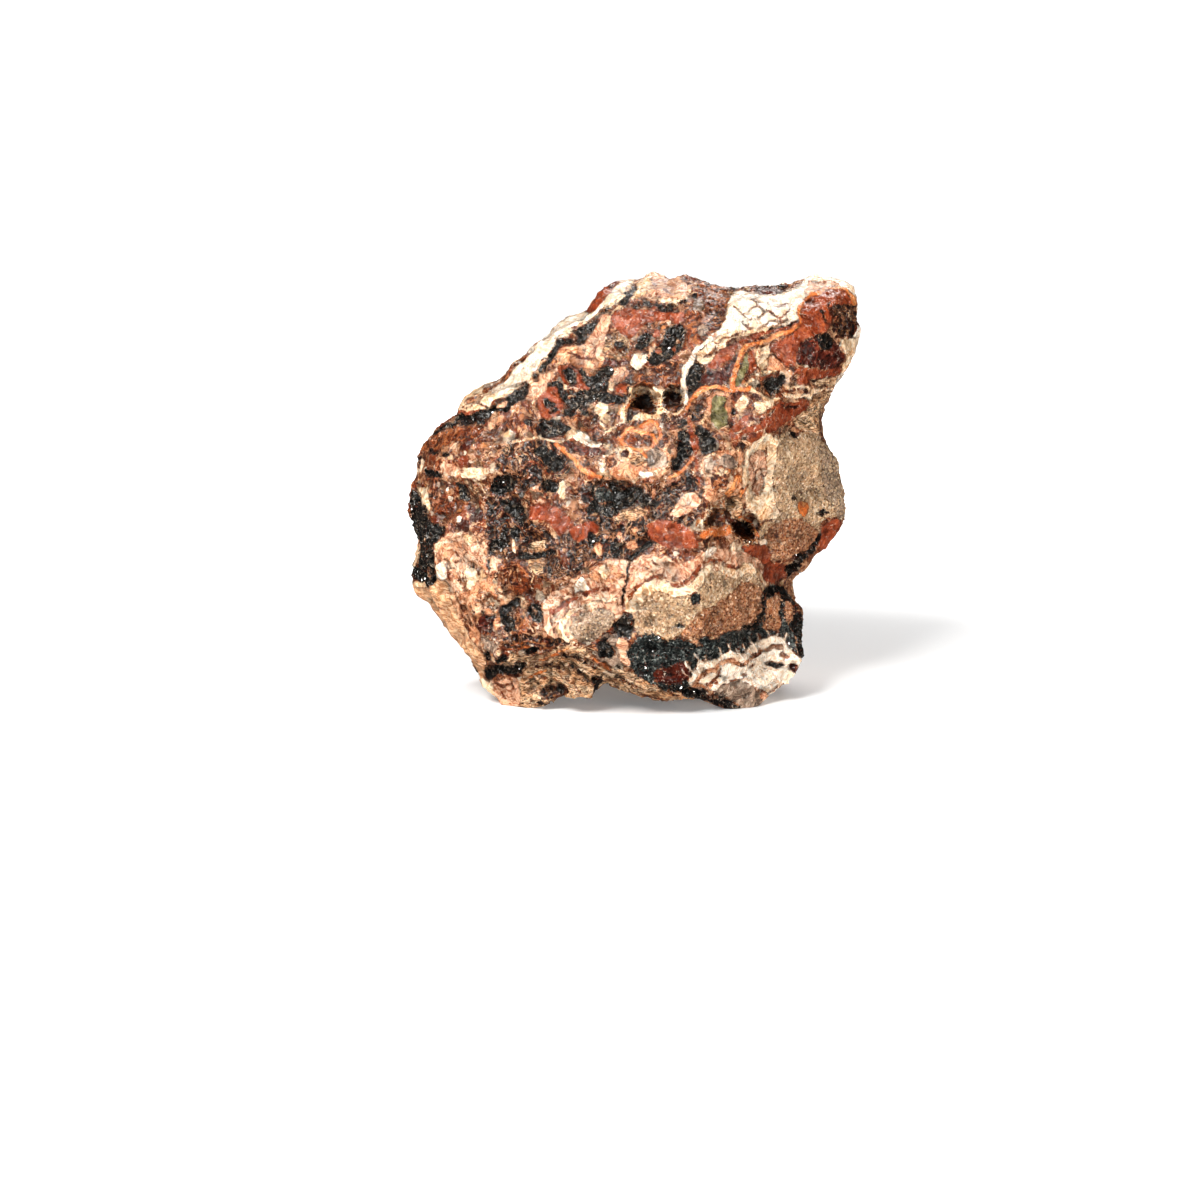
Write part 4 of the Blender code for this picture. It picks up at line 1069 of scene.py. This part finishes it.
def small_material(name, tones, roughness, **inputs):
    """A material whose colour is picked for each small shape by its random tone."""
    made = bpy.data.materials.new(name)
    made.use_nodes = True
    nodes = made.node_tree
    surface = nodes.nodes["Principled BSDF"]
    surface.inputs["Roughness"].default_value = roughness
    for title, value in inputs.items():
        surface.inputs[title.replace("_", " ")].default_value = value
    tone = add(nodes, "ShaderNodeAttribute", attribute_name="tone").outputs["Fac"]
    colour = add(nodes, "ShaderNodeValToRGB", {0: tone}, stops=stops_of(tones)).outputs[0]
    nodes.links.new(colour, surface.inputs["Base Color"])
    return made


# Rounded grains of quartz sand, pale in the sandy zones and stained red beside the ore
grain_shape = {"kind": "GeometryNodeMeshIcoSphere", "tilt": 3.0, "inputs": {"Radius": 1.0, "Subdivisions": 1}}
pale_grain = small_material(
    "quartz_sand", "4A3626 8E6E50 B8946E D0AE8A 76583C E4CCA8 9C7A5A C8A684", 0.35, IOR=1.54)
red_grain = small_material("stained_sand", "42200F 8C5232 B07850 6A3820 CC9870 9C6040 E4BC98", 0.35, IOR=1.54)
scatter("sand_grains", ("sandstone", "grey sand"), (-9, -0.15), 1.3, 0.28, 3, grain_shape, pale_grain)
scatter("red_sand_grains", ("red sand",), (-9, -0.15), 1.3, 0.28, 4, grain_shape, red_grain)
# Thin glossy plates of hematite
plate = small_material("specular_hematite", "060606 1A1C1C 303432 0C0D0D 484C48", 0.12, IOR=2.9, Metallic=0.3)
scatter("hematite_plates", ("hematite", "flecked ore"), (-9, -0.25), 0.6, 0.32, 5, {
    "kind": "GeometryNodeMeshCylinder", "tilt": 1.2,
    "inputs": {"Vertices": 6, "Radius": 1.0, "Depth": 0.16}}, plate)
# Clear six-sided quartz points
point = small_material(
    "quartz_druse", "B4783C F0D8B4 D8A468 FFF0DC A0602C", 0.08, IOR=1.54, Transmission_Weight=0.5)
scatter("quartz_points", ("goethite",), (0.1, 1.1), 1.6, 0.26, 7, {
    "kind": "GeometryNodeMeshCone", "tilt": 0.6,
    "inputs": {"Vertices": 6, "Radius Top": 0.05, "Radius Bottom": 0.8, "Depth": 2.4}}, point)

# Floor, background and lights: a plain white floor under soft studio light from the upper left and front.
FLOOR_RADIUS = 0.62
floor = bpy.data.objects.new("floor", bpy.data.meshes.new("floor"))
disc = bmesh.new()
bmesh.ops.create_circle(disc, cap_ends=True, segments=96, radius=FLOOR_RADIUS)
disc.to_mesh(floor.data)
disc.free()
bpy.context.collection.objects.link(floor)

# White paper, lit through from below where it is far from the stone, so that it ends in plain white.
paper = bpy.data.materials.new("white_paper")
paper.use_nodes = True
paper_shader = paper.node_tree.nodes["Principled BSDF"]
paper_shader.inputs["Base Color"].default_value = hexa("#F2F4F8")
paper_shader.inputs["Roughness"].default_value = 0.8
paper_shader.inputs["Emission Color"].default_value = hexa("#FFFFFF")
paper_place = add(paper.node_tree, "ShaderNodeTexCoord").outputs["Object"]
paper_reach = add(paper.node_tree, "ShaderNodeVectorMath", {
    0: paper_place}, operation="LENGTH").outputs["Value"]
paper_glow = add(paper.node_tree, "ShaderNodeMapRange", {
    0: paper_reach, 1: 0.07, 2: 0.28, 3: 0.15, 4: 1.0}, interpolation_type="SMOOTHSTEP").outputs[0]
paper.node_tree.links.new(paper_glow, paper_shader.inputs["Emission Strength"])
floor.data.materials.append(paper)
floor.visible_glossy = False

LIGHTS = {
    "key": ((-0.45, -0.60, 0.80), 0.45, 12, True),
    "fill": ((0.5, -0.8, 0.2), 0.4, 2.8, True),
    "back": ((0.15, 0.6, 0.8), 0.5, 5, True),
    "left glint": ((-0.35, -0.75, 0.42), 0.08, 3, False),
    "right glint": ((0.28, -0.80, 0.55), 0.08, 3, False),
    "top glint": ((-0.05, -0.35, 0.95), 0.10, 3, False),
    "low glint": ((-0.6, -0.45, 0.30), 0.08, 2, False),
}
for name, (light_place, size, power, lights_all) in LIGHTS.items():
    lamp = bpy.data.objects.new(name, bpy.data.lights.new(name, "AREA"))
    lamp.data.size = size
    lamp.data.energy = power
    lamp.data.color = (1.0, 0.98, 0.94)
    lamp.location = light_place
    lamp.visible_diffuse = lights_all
    aim = Vector((0, 0, 0.05)) - lamp.location
    lamp.rotation_euler = aim.to_track_quat("-Z", "Y").to_euler()
    bpy.context.collection.objects.link(lamp)

world = bpy.data.worlds.new("studio")
world.use_nodes = True
sky = world.node_tree
seen_directly = add(sky, "ShaderNodeLightPath").outputs["Is Camera Ray"]
strength = add(sky, "ShaderNodeMapRange", {0: seen_directly, 3: 0.06, 4: 1.0}).outputs[0]
sky.nodes["Background"].inputs["Color"].default_value = hexa("#FFFFFF")
sky.links.new(strength, sky.nodes["Background"].inputs["Strength"])
bpy.context.scene.world = world
bpy.context.scene.view_settings.view_transform = "Standard"
bpy.context.scene.view_settings.look = "Medium High Contrast"
